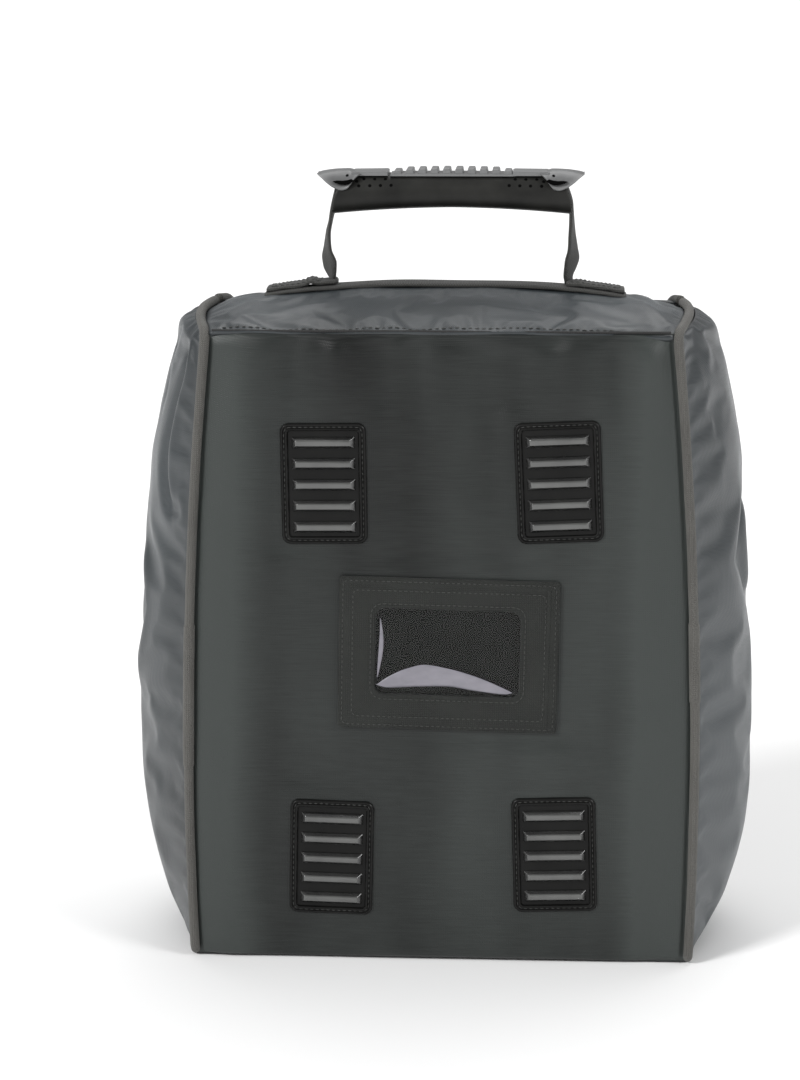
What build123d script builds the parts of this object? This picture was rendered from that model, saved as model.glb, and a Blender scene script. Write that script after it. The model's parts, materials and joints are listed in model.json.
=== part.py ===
"""Soft-sided shoe bag: a padded box with bulged side gussets, corded seams, a
rear cover that unzips and falls open on its bottom edge, a moulded grip on a
webbing strap, four ribbed pads and a card holder on the flat face.

Frame: millimetres, +Z up, origin on the base at the middle of the overall box.
-Y is the flat face with the pads, +Y is the zipped cover, +X is the right-hand
side when the flat face is looked at.
"""

import math
import os

from build123d import *

os.makedirs("parts", exist_ok=True)

# ---------------------------------------------------------------- dimensions
FRONT = 62.0            # flat face is at y = -FRONT
REAR = 63.5             # outer face of the rear cover is at y = +REAR
SEAM_W = 123.2          # half width at the side seams, at the base
SEAM_SLOPE, SEAM_CURVE = 0.0362, -0.000224   # how it changes with height
TOP_SPREAD = 8.0        # the top is this much wider, each side, at mid depth
TOP_SEAM = 318.0        # height of the front top seam
ZIP_Y = 31.0            # the zip lies in this plane all the way round
ZIP_Z = 319.0           # height of the fabric along the zip's top run
RIDGE_MID = 332.5       # crown of the top, at the handle
RIDGE_END = 320.0       # crown of the top, at the side seams
ZIP_GAP = 5.6           # fabric edge to the middle of the zip
ZIP_FLAT = 6.5          # the top is level this far either side of the zip
COIL_HALF = 1.9         # width of one coil
BODY_GAP = 0.2          # half of the clearance between shell and cover
COVER_Z = 5.0           # lower end of the cover's side gussets
HINGE_Z = 3.0           # height of the cover's fold line

FABRIC = 1.2            # outer fabric with its coating
BOARD = 1.6             # foam board behind a flat panel
PADDED = 2.8            # laminated side and top panels
LINING = 0.5
LAYER_GAP = 0.1

CORD_R = 2.4            # piping
EDGE_IN = 2.5           # a panel stops this far inside the seam, clear of it
EDGE_OUT = 2.9          # and a side panel starts this far outside
TAPE_HALF = 14.0        # half width of the whole zip tape
TAPE_T = 0.7

PAD_W, PAD_H, PAD_R = 41.0, 58.5, 3.5
PAD_BASE, PAD_RIB = 1.3, 2.2
RIB_L, RIB_W, RIB_PITCH = 30.0, 4.6, 10.4
PADS = {                # centre x, centre z, roll in degrees
    "ribbed_pad_upper_left": (-56.0, 244.0, 0.6),
    "ribbed_pad_upper_right": (57.0, 245.5, 2.6),
    "ribbed_pad_lower_left": (-54.0, 54.5, -1.4),
    "ribbed_pad_lower_right": (56.5, 57.5, 1.8),
}

CARD_W, CARD_H = 107.0, 76.0
CARD_X, CARD_Z, CARD_ROLL = 4.0, 159.5, -1.2
WIN_W, WIN_H, WIN_R = 70.0, 40.0, 5.0

STRAP_W, STRAP_T = 20.0, 2.2
STRAP_X = 58.5          # the legs rise here
STRIP_L, STRIP_W = 178.0, 24.0
PIVOT_Z = 337.2         # the legs fold here
GRIP_Z = 377.0          # middle of the grip's body
GRIP_L = 116.0
GRIP_W, GRIP_H = 26.0, 17.5

# bulge of the side gussets over the height
STATIONS = [
    (0.0, 5.0), (12.0, 12.0), (30.0, 20.0), (55.0, 26.0), (90.0, 28.3),
    (130.0, 28.4), (170.0, 27.2), (210.0, 26.4), (250.0, 25.6), (280.0, 22.5),
    (300.0, 18.5), (312.0, 14.0), (322.0, 10.0), (350.0, 6.0),
]


def seam_w(z):
    """Half width at the side seams of the front and rear faces."""
    z = min(z, TOP_SEAM)
    return SEAM_W + SEAM_SLOPE * z + SEAM_CURVE * z * z


def spread(y):
    """How much wider the top is than its front edge."""
    return TOP_SPREAD * max(0.0, 1 - ((y - (REAR - FRONT) / 2) / ((REAR + FRONT) / 2)) ** 2)


def seam_x(y, z):
    """Half width at the side seam, anywhere along it."""
    up = min(1.0, max(0.0, (z - 302.0) / 17.0))
    return seam_w(z) + spread(y) * up * up * (3 - 2 * up)


def crown(x):
    """Height of the crown line over the width."""
    t = min(1.0, abs(x) / 116.0)
    return RIDGE_END + (RIDGE_MID - RIDGE_END) * (1 - t * t)


def body_solid(off):
    """The closed outer form of the bag, shrunk by off on every face."""
    with BuildPart() as plan:
        for z, bulge in STATIONS:
            w = seam_w(z) - off
            y0, y1 = -FRONT + off, REAR - off
            ym = (y0 + y1) / 2
            with BuildSketch(Plane.XY.offset(z)):
                with BuildLine():
                    Line((-w, y0), (w, y0))
                    ThreePointArc((w, y0), (w + bulge, ym), (w, y1))
                    Line((w, y1), (-w, y1))
                    ThreePointArc((-w, y1), (-w - bulge, ym), (-w, y0))
                make_face()
        loft()
    with BuildPart() as profile:
        for x in (-170.0, -116.0, -75.0, -38.0, 0.0, 38.0, 75.0, 116.0, 170.0):
            ridge = crown(x)
            lift = ridge - RIDGE_END
            with BuildSketch(Plane.YZ.offset(x)):
                with BuildLine():
                    Line((-FRONT - 4, off), (REAR + 4, off))
                    Line((REAR + 4, off), (REAR + 4, 309.5 - off))
                    Spline(
                        (REAR + 4, 309.5 - off),
                        (53.0, 316.6 - off),
                        (ZIP_Y + ZIP_FLAT, ZIP_Z - off),
                        tangents=[(-1, 0.75), (-1, 0.02)],
                    )
                    Line((ZIP_Y + ZIP_FLAT, ZIP_Z - off), (ZIP_Y - ZIP_FLAT, ZIP_Z - off))
                    Spline(
                        (ZIP_Y - ZIP_FLAT, ZIP_Z - off),
                        (12.0, 319.8 + 0.84 * lift - off),
                        (-4.0, ridge - off),
                        (-34.0, 319.4 + 0.66 * lift - off),
                        (-FRONT - 4, 316.6 - off),
                        tangents=[(-1, 0.10), (-1, -0.25)],
                    )
                    Line((-FRONT - 4, 317.0 - off), (-FRONT - 4, off))
                make_face()
        loft()
    with BuildPart() as form:
        add(plan.part)
        add(profile.part, mode=Mode.INTERSECT)
    return form.part


FORMS = {}


def form(off):
    key = round(off, 3)
    if key not in FORMS:
        FORMS[key] = body_solid(off)
    return FORMS[key]


def layer(a, b):
    """Everything between the outer form shrunk by a and by b."""
    with BuildPart() as skin:
        add(form(a))
        add(form(b), mode=Mode.SUBTRACT)
    return skin.part


def block(x0, x1, y0, y1, z0, z1):
    with BuildPart() as b:
        with Locations(((x0 + x1) / 2, (y0 + y1) / 2, (z0 + z1) / 2)):
            Box(x1 - x0, y1 - y0, z1 - z0)
    return b.part


def between_seams(inset):
    """Everything between the side seams of the front and rear faces."""
    low, mid, high = (seam_w(z) - inset for z in (0.0, TOP_SEAM / 2, TOP_SEAM))
    with BuildPart() as b:
        with BuildSketch(Plane.XZ.offset(-90)):
            with BuildLine():
                Polyline((-low, 0), (-low, -20), (low, -20), (low, 0))
                ThreePointArc((low, 0), (mid, TOP_SEAM / 2), (high, TOP_SEAM))
                Polyline((high, TOP_SEAM), (high, 400), (-high, 400), (-high, TOP_SEAM))
                ThreePointArc((-high, TOP_SEAM), (-mid, TOP_SEAM / 2), (-low, 0))
            make_face()
        extrude(amount=180)
    return b.part


def under_top(inset, z0):
    """Everything inside the outline of the top, from above, over height z0."""
    w = seam_w(TOP_SEAM) - inset
    mid = (REAR - FRONT) / 2
    with BuildPart() as b:
        with BuildSketch(Plane.XY.offset(z0)):
            with BuildLine():
                Polyline((-w, -FRONT), (-w, -90), (w, -90), (w, -FRONT))
                ThreePointArc((w, -FRONT), (w + TOP_SPREAD, mid), (w, REAR))
                Polyline((w, REAR), (w, 90), (-w, 90), (-w, REAR))
                ThreePointArc((-w, REAR), (-w - TOP_SPREAD, mid), (-w, -FRONT))
            make_face()
        extrude(amount=400 - z0)
    return b.part


def cord(run, sign):
    """A round cord along a side seam, from its run (y, z, corner radius) as seen from the side."""
    points = [(sign * (seam_x(y, z) + 0.28), y, z) for y, z, _ in run]
    with BuildPart() as tube:
        with BuildLine() as path:
            FilletPolyline(*points, radius=[r for _, _, r in run[1:-1]])
        with BuildSketch(Plane(origin=path.wire() @ 0, z_dir=path.wire() % 0)):
            Circle(CORD_R)
        sweep()
    return tube.part


def upright(y, low, high):
    """Points up a face seam, close enough together to follow its bow."""
    steps = 7
    return [(y, low + (high - low) * k / steps, 150.0) for k in range(1, steps)]


# ------------------------------------------------------------------- piping
front_run = [
    (ZIP_Y - 4.0, 319.8, 0), (12.0, 320.4, 60.0), (-4.0, 320.8, 60.0),
    (-19.0, 320.6, 60.0), (-34.0, 320.1, 60.0), (-47.5, 319.2, 50.0),
    (-FRONT + 0.4, 317.6, 7.5),
    *reversed(upright(-FRONT + 0.4, 2.5, 317.6)),
    (-FRONT + 0.4, 2.5, 5.0), (REAR - 9.0, 2.5, 0),
]
rear_run = [
    (ZIP_Y + 4.0, 319.9, 0), (53.0, 317.9, 18.0), (REAR - 0.4, 311.6, 6.0),
    *reversed(upright(REAR - 0.4, 8.5, 311.6)),
    (REAR - 0.4, 8.5, 0),
]

with BuildPart() as piping_front_left:
    add(cord(front_run, -1))
with BuildPart() as piping_front_right:
    add(cord(front_run, 1))
with BuildPart() as piping_rear_left:
    add(cord(rear_run, -1))
with BuildPart() as piping_rear_right:
    add(cord(rear_run, 1))

# -------------------------------------------------------------- shell panels
shell_y = ZIP_Y - ZIP_GAP
cover_y = ZIP_Y + ZIP_GAP

with BuildPart() as front_panel:
    add(layer(0, FABRIC))
    add(block(-200, 200, -90, -FRONT + FABRIC, 0, TOP_SEAM - 0.8), mode=Mode.INTERSECT)
    add(between_seams(EDGE_IN), mode=Mode.INTERSECT)

with BuildPart() as front_board:
    add(block(-200, 200, -FRONT + FABRIC + LAYER_GAP, -FRONT + FABRIC + BOARD, 4.5, TOP_SEAM - 6))
    add(between_seams(6.0), mode=Mode.INTERSECT)

with BuildPart() as bottom_panel:
    add(layer(0, FABRIC))
    add(block(-200, 200, -FRONT + FABRIC + LAYER_GAP, REAR - 1.5, -1, FABRIC), mode=Mode.INTERSECT)
    add(between_seams(EDGE_IN), mode=Mode.INTERSECT)

with BuildPart() as base_board:
    add(block(-200, 200, -FRONT + 3.4, REAR - 6.0, FABRIC + LAYER_GAP, FABRIC + BOARD))
    add(between_seams(6.0), mode=Mode.INTERSECT)

with BuildPart() as top_panel:
    add(layer(0, PADDED))
    add(block(-200, 200, -90, shell_y, 280, 400), mode=Mode.INTERSECT)
    add(under_top(EDGE_IN, 309.0), mode=Mode.INTERSECT)
    add(block(-200, 200, -90, -FRONT + PADDED, 280, TOP_SEAM - 0.7), mode=Mode.SUBTRACT)


def side_layer(sign, a, b, y0, y1, z0, inset=-EDGE_OUT):
    with BuildPart() as cut:
        add(layer(a, b))
        add(block(min(0, sign * 250), max(0, sign * 250), y0, y1, z0, 400), mode=Mode.INTERSECT)
        add(between_seams(inset), mode=Mode.SUBTRACT)
        add(under_top(inset, 308.9), mode=Mode.SUBTRACT)
    with BuildPart() as s:
        add(max(cut.part.solids(), key=lambda piece: piece.volume))
    return s.part


with BuildPart() as side_panel_left:
    add(side_layer(-1, 0, PADDED, -90, shell_y, -1))
with BuildPart() as side_panel_right:
    add(side_layer(1, 0, PADDED, -90, shell_y, -1))

with BuildPart() as shell_lining:
    add(layer(PADDED + LAYER_GAP + 0.1, PADDED + LAYER_GAP + 0.1 + LINING))
    add(block(-200, 200, -90, ZIP_Y - TAPE_HALF - 1.0, -1, 400), mode=Mode.INTERSECT)
    for sign in (-1, 1):  # open along the base seams
        x0, x1 = sorted((sign * (SEAM_W - EDGE_IN), sign * 250))
        add(block(x0, x1, -90, 90, -1, 5.4), mode=Mode.SUBTRACT)

# --------------------------------------------------------------- rear cover
with BuildPart() as rear_panel:
    add(block(-200, 200, REAR - FABRIC, REAR, HINGE_Z + 0.8, 310.6))
    add(between_seams(EDGE_IN), mode=Mode.INTERSECT)

with BuildPart() as rear_board:
    add(block(-200, 200, REAR - FABRIC - BOARD, REAR - FABRIC - LAYER_GAP, 9.0, 303.0))
    add(between_seams(6.0), mode=Mode.INTERSECT)

with BuildPart() as cover_top_gusset:
    add(layer(0, PADDED))
    add(block(-200, 200, cover_y, 90, 280, 400), mode=Mode.INTERSECT)
    add(under_top(EDGE_IN, 303.0), mode=Mode.INTERSECT)
    add(block(-200, 200, REAR - PADDED, 90, 280, 311.0), mode=Mode.SUBTRACT)

with BuildPart() as cover_side_gusset_left:
    add(side_layer(-1, 0, PADDED, cover_y, 90, COVER_Z))
with BuildPart() as cover_side_gusset_right:
    add(side_layer(1, 0, PADDED, cover_y, 90, COVER_Z))

with BuildPart() as cover_lining:
    add(layer(PADDED + LAYER_GAP + 0.1, PADDED + LAYER_GAP + 0.1 + LINING))
    add(block(-200, 200, ZIP_Y + TAPE_HALF + 1.0, 90, COVER_Z + 1.0, 400), mode=Mode.INTERSECT)

# ---------------------------------------------------------------------- zip
tape_a, tape_b = PADDED + LAYER_GAP, PADDED + LAYER_GAP + TAPE_T


def zip_band(a, b, y0, y1, z0):
    with BuildPart() as band:
        add(layer(a, b))
        add(block(-200, 200, y0, y1, z0, 400), mode=Mode.INTERSECT)
    return band.part


with BuildPart() as zip_tape_shell:
    add(zip_band(tape_a, tape_b, ZIP_Y - TAPE_HALF, ZIP_Y - BODY_GAP, 6.0))
with BuildPart() as zip_tape_cover:
    add(zip_band(tape_a, tape_b, ZIP_Y + BODY_GAP, ZIP_Y + TAPE_HALF, 7.0))
with BuildPart() as zip_coil_shell:
    add(zip_band(0.6, tape_a, ZIP_Y - COIL_HALF, ZIP_Y - BODY_GAP, 9.0))
with BuildPart() as zip_coil_cover:
    add(zip_band(0.6, tape_a, ZIP_Y + BODY_GAP, ZIP_Y + COIL_HALF, 9.0))

# lower end stops, crimped on the shell's half of the zip
with BuildPart() as zip_stop_left:
    add(side_layer(-1, 0.4, tape_a, ZIP_Y - 2.6, ZIP_Y - BODY_GAP, 6.2, 0.0))
    add(block(-200, 200, -90, 90, 8.8, 400), mode=Mode.SUBTRACT)
with BuildPart() as zip_stop_right:
    add(side_layer(1, 0.4, tape_a, ZIP_Y - 2.6, ZIP_Y - BODY_GAP, 6.2, 0.0))
    add(block(-200, 200, -90, 90, 8.8, 400), mode=Mode.SUBTRACT)

# sliders sit on the top run, either side of the middle
SLIDER_L, SLIDER_W, SLIDER_X = 15.0, 9.4, 9.6
plate_top = ZIP_Z + 0.2


def slider_body(sign):
    """A plate over the coils, a guide flange on the shell's side, and a bridge
    for the pull."""
    x = sign * SLIDER_X
    with BuildPart() as s:
        with BuildSketch(Plane.XY.offset(plate_top)):
            with Locations((x, ZIP_Y)):
                SlotOverall(SLIDER_L, SLIDER_W)
        extrude(amount=1.2)
        add(block(x - 4.5, x + 4.5, ZIP_Y - SLIDER_W / 2 + 0.2, ZIP_Y - COIL_HALF - 0.5,
                  ZIP_Z - tape_a + 0.4, plate_top + 0.1))
        # bridge over the top plate
        with BuildSketch(Plane.XZ.offset(-(ZIP_Y + 1.2))):
            with BuildLine():
                Polyline(
                    (x - 4.6, plate_top + 1.1), (x - 4.6, plate_top + 3.5),
                    (x - 3.4, plate_top + 4.7), (x + 3.4, plate_top + 4.7),
                    (x + 4.6, plate_top + 3.5), (x + 4.6, plate_top + 1.1),
                    close=True,
                )
            make_face()
            with BuildLine():
                Polyline(
                    (x - 3.4, plate_top + 0.9), (x - 3.4, plate_top + 3.1),
                    (x - 2.9, plate_top + 3.6), (x + 2.9, plate_top + 3.6),
                    (x + 3.4, plate_top + 3.1), (x + 3.4, plate_top + 0.9),
                    close=True,
                )
            make_face(mode=Mode.SUBTRACT)
        extrude(amount=2.4)
    return s.part


PULL_PIN_R = 0.65
PULL_Z = plate_top + 2.4
PULL_L, PULL_W, PULL_T = 26.0, 7.4, 1.5


def pull_tab(sign):
    """A tab that lies flat away from the middle, on a round bar in the bridge."""
    x = sign * (SLIDER_X + 1.4)
    lo, hi = sorted((x + sign * 2.4, x + sign * PULL_L))
    with BuildPart() as p:
        with BuildSketch(Plane.XZ.offset(-(ZIP_Y + PULL_W / 2))):
            with Locations((x, PULL_Z)):
                Circle(PULL_PIN_R)
        extrude(amount=PULL_W)
        # cheeks either side of the bridge, then the tab
        for y in (ZIP_Y - PULL_W / 2 + 0.7, ZIP_Y + PULL_W / 2 - 0.7):
            add(block(min(x, x + sign * 9.0), max(x, x + sign * 9.0), y - 0.7, y + 0.7,
                      PULL_Z - PULL_T / 2, PULL_Z + PULL_T / 2))
        with BuildSketch(Plane.XY.offset(PULL_Z - PULL_T / 2)):
            with Locations((x + sign * (8.0 + PULL_L) / 2, ZIP_Y)):
                RectangleRounded(PULL_L - 8.0, PULL_W, 2.0)
            with Locations((x + sign * (PULL_L - 4.2), ZIP_Y)):
                Circle(1.7, mode=Mode.SUBTRACT)
        extrude(amount=PULL_T)
    return p.part


with BuildPart() as slider_left:
    add(slider_body(-1))
with BuildPart() as slider_right:
    add(slider_body(1))
with BuildPart() as pull_left:
    add(pull_tab(-1))
with BuildPart() as pull_right:
    add(pull_tab(1))

# ------------------------------------------------------------------- handle
with BuildPart() as handle_base_strip:
    add(layer(-2.1, -0.1))
    add(block(-STRIP_L / 2, STRIP_L / 2, -STRIP_W / 2, STRIP_W / 2, 300, 400), mode=Mode.INTERSECT)


def tab(sign):
    x0, x1 = sorted((sign * (STRAP_X - 1.1), sign * (STRIP_L / 2 - 1.0)))
    with BuildPart() as t:
        add(layer(-4.3, -2.2))
        add(block(x0, x1, -STRAP_W / 2, STRAP_W / 2, 300, 400), mode=Mode.INTERSECT)
    return t.part


with BuildPart() as handle_tab_left:
    add(tab(-1))
with BuildPart() as handle_tab_right:
    add(tab(1))

# one strap: two legs and the run through the grip. Each leg narrows to a round
# end on the fold line.
run_z = GRIP_Z
with BuildPart() as handle_strap:
    for sign in (-1, 1):
        with BuildSketch(Plane.YZ.offset(sign * STRAP_X - STRAP_T / 2)):
            with BuildLine():
                Polyline(
                    (2.4, PIVOT_Z), (STRAP_W / 2, PIVOT_Z + 17),
                    (STRAP_W / 2, run_z + STRAP_T / 2), (-STRAP_W / 2, run_z + STRAP_T / 2),
                    (-STRAP_W / 2, PIVOT_Z + 17), (-2.4, PIVOT_Z),
                )
                ThreePointArc((-2.4, PIVOT_Z), (0, PIVOT_Z - 2.4), (2.4, PIVOT_Z))
            make_face()
        extrude(amount=STRAP_T)
    add(block(-STRAP_X, STRAP_X, -STRAP_W / 2, STRAP_W / 2, run_z - STRAP_T / 2, run_z + STRAP_T / 2))

# moulded grip: arched body, flat ribbed back and a pointed hood at each end
with BuildPart() as grip:
    xs = (-56.0, -48.0, -24.0, 0.0, 24.0, 48.0, 56.0)
    for x in xs:
        arch = 2.2 * (1 - (x / 56.0) ** 2)
        h = GRIP_H - 1.6 * (1 - (x / 56.0) ** 2)
        k = 0.90 if abs(x) > 55 else 1.0
        with BuildSketch(Plane.YZ.offset(x)):
            with Locations((0, GRIP_Z - 0.6 + arch)):
                RectangleRounded(GRIP_W * k, h * k, 7.4 * k)
    loft()
    # flat back along the top, running out into the hoods
    with BuildSketch(Plane.XZ.offset(-8.5)):
        with BuildLine():
            Polyline(
                (-64.5, 386.6), (-52.0, 387.4), (52.0, 387.4), (64.5, 386.6),
                (61.0, 382.4), (54.5, 380.4), (-54.5, 380.4), (-61.0, 382.4),
                close=True,
            )
        make_face()
    extrude(amount=17.0)
    # finger ribs across the back
    for i in range(10):
        x = (i - 4.5) * 6.0
        with BuildSketch(Plane.XZ.offset(-7.0)):
            with BuildLine():
                Polyline((x - 2.2, 386.8), (x - 1.5, 389.2), (x + 1.5, 389.2), (x + 2.2, 386.8), close=True)
            make_face()
        extrude(amount=14.0)
    # slot for the strap, flared at both ends for the legs
    add(block(-70, 70, -STRAP_W / 2 - 0.5, STRAP_W / 2 + 0.5,
              run_z - STRAP_T / 2 - 0.4, run_z + STRAP_T / 2 + 0.4), mode=Mode.SUBTRACT)
    for sign in (-1, 1):
        x0, x1 = sorted((sign * (STRAP_X - STRAP_T / 2 - 0.4), sign * 60.5))
        add(block(x0, x1, -STRAP_W / 2 - 0.5, STRAP_W / 2 + 0.5, 340, run_z + 1.5), mode=Mode.SUBTRACT)

# --------------------------------------------------------------- ribbed pads


def face_plane(x, z, roll, out=0.0):
    """A plane on the flat face: local x right, local y up, normal outwards."""
    r = math.radians(roll)
    return Plane(origin=(x, -FRONT - out, z), x_dir=(math.cos(r), 0, math.sin(r)), z_dir=(0, -1, 0))


def ribbed_pad(x, z, roll):
    with BuildPart() as pad:
        with BuildSketch(face_plane(x, z, roll)):
            RectangleRounded(PAD_W, PAD_H, PAD_R)
        extrude(amount=PAD_BASE)
        with BuildSketch(face_plane(x, z, roll, PAD_BASE)):
            RectangleRounded(PAD_W, PAD_H, PAD_R)
            RectangleRounded(PAD_W - 3.2, PAD_H - 3.2, PAD_R - 1.6, mode=Mode.SUBTRACT)
        extrude(amount=0.5)
        for i in range(5):
            offset_z = (i - 2) * RIB_PITCH - 0.7
            r = math.radians(roll)
            cx, cz = x - offset_z * math.sin(r), z + offset_z * math.cos(r)
            with BuildSketch(face_plane(cx, cz, roll, PAD_BASE)):
                Rectangle(RIB_L, RIB_W)
            with BuildSketch(face_plane(cx, cz, roll, PAD_BASE + PAD_RIB)):
                Rectangle(RIB_L - 4.4, RIB_W - 2.4)
            loft()
    return pad.part


pads = {}
for pad_name, (px, pz, proll) in PADS.items():
    with BuildPart() as pads[pad_name]:
        add(ribbed_pad(px, pz, proll))

# --------------------------------------------------------------- card holder
with BuildPart() as card_backing:
    with BuildSketch(face_plane(CARD_X, CARD_Z, CARD_ROLL)):
        RectangleRounded(CARD_W, CARD_H, 1.0)
    extrude(amount=0.6)

with BuildPart() as card_frame:
    with BuildSketch(face_plane(CARD_X, CARD_Z, CARD_ROLL, 0.6)):
        RectangleRounded(CARD_W, CARD_H, 1.0)
        with Locations((8.0, 0)):
            Rectangle(CARD_W, CARD_H - 14.0, mode=Mode.SUBTRACT)
    extrude(amount=1.2)
    with BuildSketch(face_plane(CARD_X, CARD_Z, CARD_ROLL, 1.8)):
        RectangleRounded(CARD_W, CARD_H, 1.0)
        RectangleRounded(WIN_W, WIN_H, WIN_R, mode=Mode.SUBTRACT)
    extrude(amount=1.0)

with BuildPart() as card_window:
    with BuildSketch(face_plane(CARD_X, CARD_Z, CARD_ROLL, 1.35)):
        RectangleRounded(WIN_W + 14, WIN_H + 14, 3.0)
    extrude(amount=0.4)

# ------------------------------------------------------------------- export
pieces = {
    "front_panel": front_panel, "front_board": front_board,
    "top_panel": top_panel, "bottom_panel": bottom_panel, "base_board": base_board,
    "side_panel_left": side_panel_left, "side_panel_right": side_panel_right,
    "shell_lining": shell_lining,
    "piping_front_left": piping_front_left, "piping_front_right": piping_front_right,
    "zip_tape_shell": zip_tape_shell, "zip_coil_shell": zip_coil_shell,
    "zip_stop_left": zip_stop_left, "zip_stop_right": zip_stop_right,
    "handle_base_strip": handle_base_strip,
    "handle_tab_left": handle_tab_left, "handle_tab_right": handle_tab_right,
    "card_backing": card_backing, "card_frame": card_frame, "card_window": card_window,
    "rear_panel": rear_panel, "rear_board": rear_board,
    "cover_top_gusset": cover_top_gusset,
    "cover_side_gusset_left": cover_side_gusset_left,
    "cover_side_gusset_right": cover_side_gusset_right,
    "cover_lining": cover_lining,
    "piping_rear_left": piping_rear_left, "piping_rear_right": piping_rear_right,
    "zip_tape_cover": zip_tape_cover, "zip_coil_cover": zip_coil_cover,
    "handle_strap": handle_strap, "grip": grip,
    "slider_left": slider_left, "slider_right": slider_right,
    "pull_left": pull_left, "pull_right": pull_right,
    **pads,
}
for name, piece in pieces.items():
    piece.part.label = name
    export_step(piece.part, f"parts/{name}.step")
    print(name, len(piece.part.solids()), round(piece.part.volume, 1))
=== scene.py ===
"""Looks of a soft shoe bag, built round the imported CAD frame."""
import json
import math

import bmesh
import bpy
import numpy as np
from mathutils import Matrix, Vector
from mathutils.bvhtree import BVHTree

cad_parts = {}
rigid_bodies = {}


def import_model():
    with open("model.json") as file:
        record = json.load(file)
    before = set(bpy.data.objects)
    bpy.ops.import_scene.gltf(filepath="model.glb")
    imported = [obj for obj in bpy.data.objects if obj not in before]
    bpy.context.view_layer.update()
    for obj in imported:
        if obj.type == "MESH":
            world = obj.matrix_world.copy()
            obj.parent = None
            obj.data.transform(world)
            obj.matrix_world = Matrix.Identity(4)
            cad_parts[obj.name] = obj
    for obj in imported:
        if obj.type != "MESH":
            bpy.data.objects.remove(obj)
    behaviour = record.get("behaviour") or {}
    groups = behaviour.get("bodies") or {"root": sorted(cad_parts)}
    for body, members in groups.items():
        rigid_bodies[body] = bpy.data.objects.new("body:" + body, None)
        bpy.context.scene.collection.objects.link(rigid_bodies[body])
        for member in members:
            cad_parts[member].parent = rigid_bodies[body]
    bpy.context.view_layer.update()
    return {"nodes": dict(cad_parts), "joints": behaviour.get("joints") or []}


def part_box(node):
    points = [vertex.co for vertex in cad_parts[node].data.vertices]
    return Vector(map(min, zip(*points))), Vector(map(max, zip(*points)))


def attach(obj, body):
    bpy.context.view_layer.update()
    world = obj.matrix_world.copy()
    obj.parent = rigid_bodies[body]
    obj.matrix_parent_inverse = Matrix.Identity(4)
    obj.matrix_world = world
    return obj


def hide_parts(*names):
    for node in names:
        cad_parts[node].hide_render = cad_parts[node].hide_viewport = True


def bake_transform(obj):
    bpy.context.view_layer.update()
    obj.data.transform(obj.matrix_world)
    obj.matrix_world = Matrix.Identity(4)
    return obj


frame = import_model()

SCENE = bpy.context.scene
MM = 0.001

# sizes that the frame gives, in millimetres
FRONT = -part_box("front_panel")[0].y / MM
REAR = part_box("rear_panel")[1].y / MM
ZIP_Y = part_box("zip_coil_cover")[0].y / MM - 0.2
MID_Y = (REAR - FRONT) / 2
HALF_Y = (REAR + FRONT) / 2
STRAP_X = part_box("handle_strap")[1].x / MM - 1.1
PIVOT = next(j for j in frame["joints"] if j["name"] == "handle_swing")["pos_m"][2] / MM
HINGE = next(j for j in frame["joints"] if j["name"] == "cover_hinge")["pos_m"]
SHELL_Y, COVER_Y = ZIP_Y - 5.2, ZIP_Y + 5.2
TOP_SEAM = 318.0
HX = 2.6                # the grip hangs a little to the right


# ------------------------------------------------------------- curve helpers
def pchip(xs, ys):
    """A smooth curve through points, with no overshoot."""
    xs, ys = np.array(xs, float), np.array(ys, float)
    h, d = np.diff(xs), np.diff(ys) / np.diff(xs)
    m = np.zeros(len(xs))
    m[0], m[-1] = d[0], d[-1]
    for i in range(1, len(xs) - 1):
        if d[i - 1] * d[i] > 0:
            a, b = 2 * h[i] + h[i - 1], h[i] + 2 * h[i - 1]
            m[i] = (a + b) / (a / d[i - 1] + b / d[i])

    def f(x):
        x = np.clip(np.asarray(x, float), xs[0], xs[-1])
        i = np.clip(np.searchsorted(xs, x) - 1, 0, len(h) - 1)
        t = (x - xs[i]) / h[i]
        return ((2 * t**3 - 3 * t**2 + 1) * ys[i] + (t**3 - 2 * t**2 + t) * h[i] * m[i]
                + (-2 * t**3 + 3 * t**2) * ys[i + 1] + (t**3 - t**2) * h[i] * m[i + 1])
    return f


def smooth(a, b, x):
    t = np.clip((np.asarray(x, float) - a) / (b - a), 0, 1)
    return t * t * (3 - 2 * t)


def bell(x, c, w):
    return np.exp(-(((np.asarray(x, float) - c) / w) ** 2))


class Waves:
    """Smooth repeatable unevenness over a surface, from a fixed seed."""

    def __init__(self, seed, low, high, count=26):
        g = np.random.default_rng(seed)
        self.k = 2 * np.pi / g.uniform(low, high, count)
        self.a = g.uniform(0, 2 * np.pi, count)
        self.p = g.uniform(0, 2 * np.pi, count)
        self.w = (1 / self.k) / np.sum(1 / self.k) * 2.4

    def __call__(self, u, v, stretch=1.0):
        out = 0
        for k, a, p, w in zip(self.k, self.a, self.p, self.w):
            out = out + w * np.sin(k * (u * np.cos(a) + v * np.sin(a) / stretch) + p)
        return out


# ------------------------------------------------------------- form of the bag
def seam_w(z):
    z = np.minimum(z, TOP_SEAM)
    return 123.2 + 0.0362 * z - 0.000224 * z * z


def spread(y):
    return 8.0 * np.maximum(0.0, 1 - ((y - MID_Y) / HALF_Y) ** 2)


def seam_x(y, z):
    return seam_w(z) + spread(y) * smooth(302.0, 319.0, z)


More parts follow.
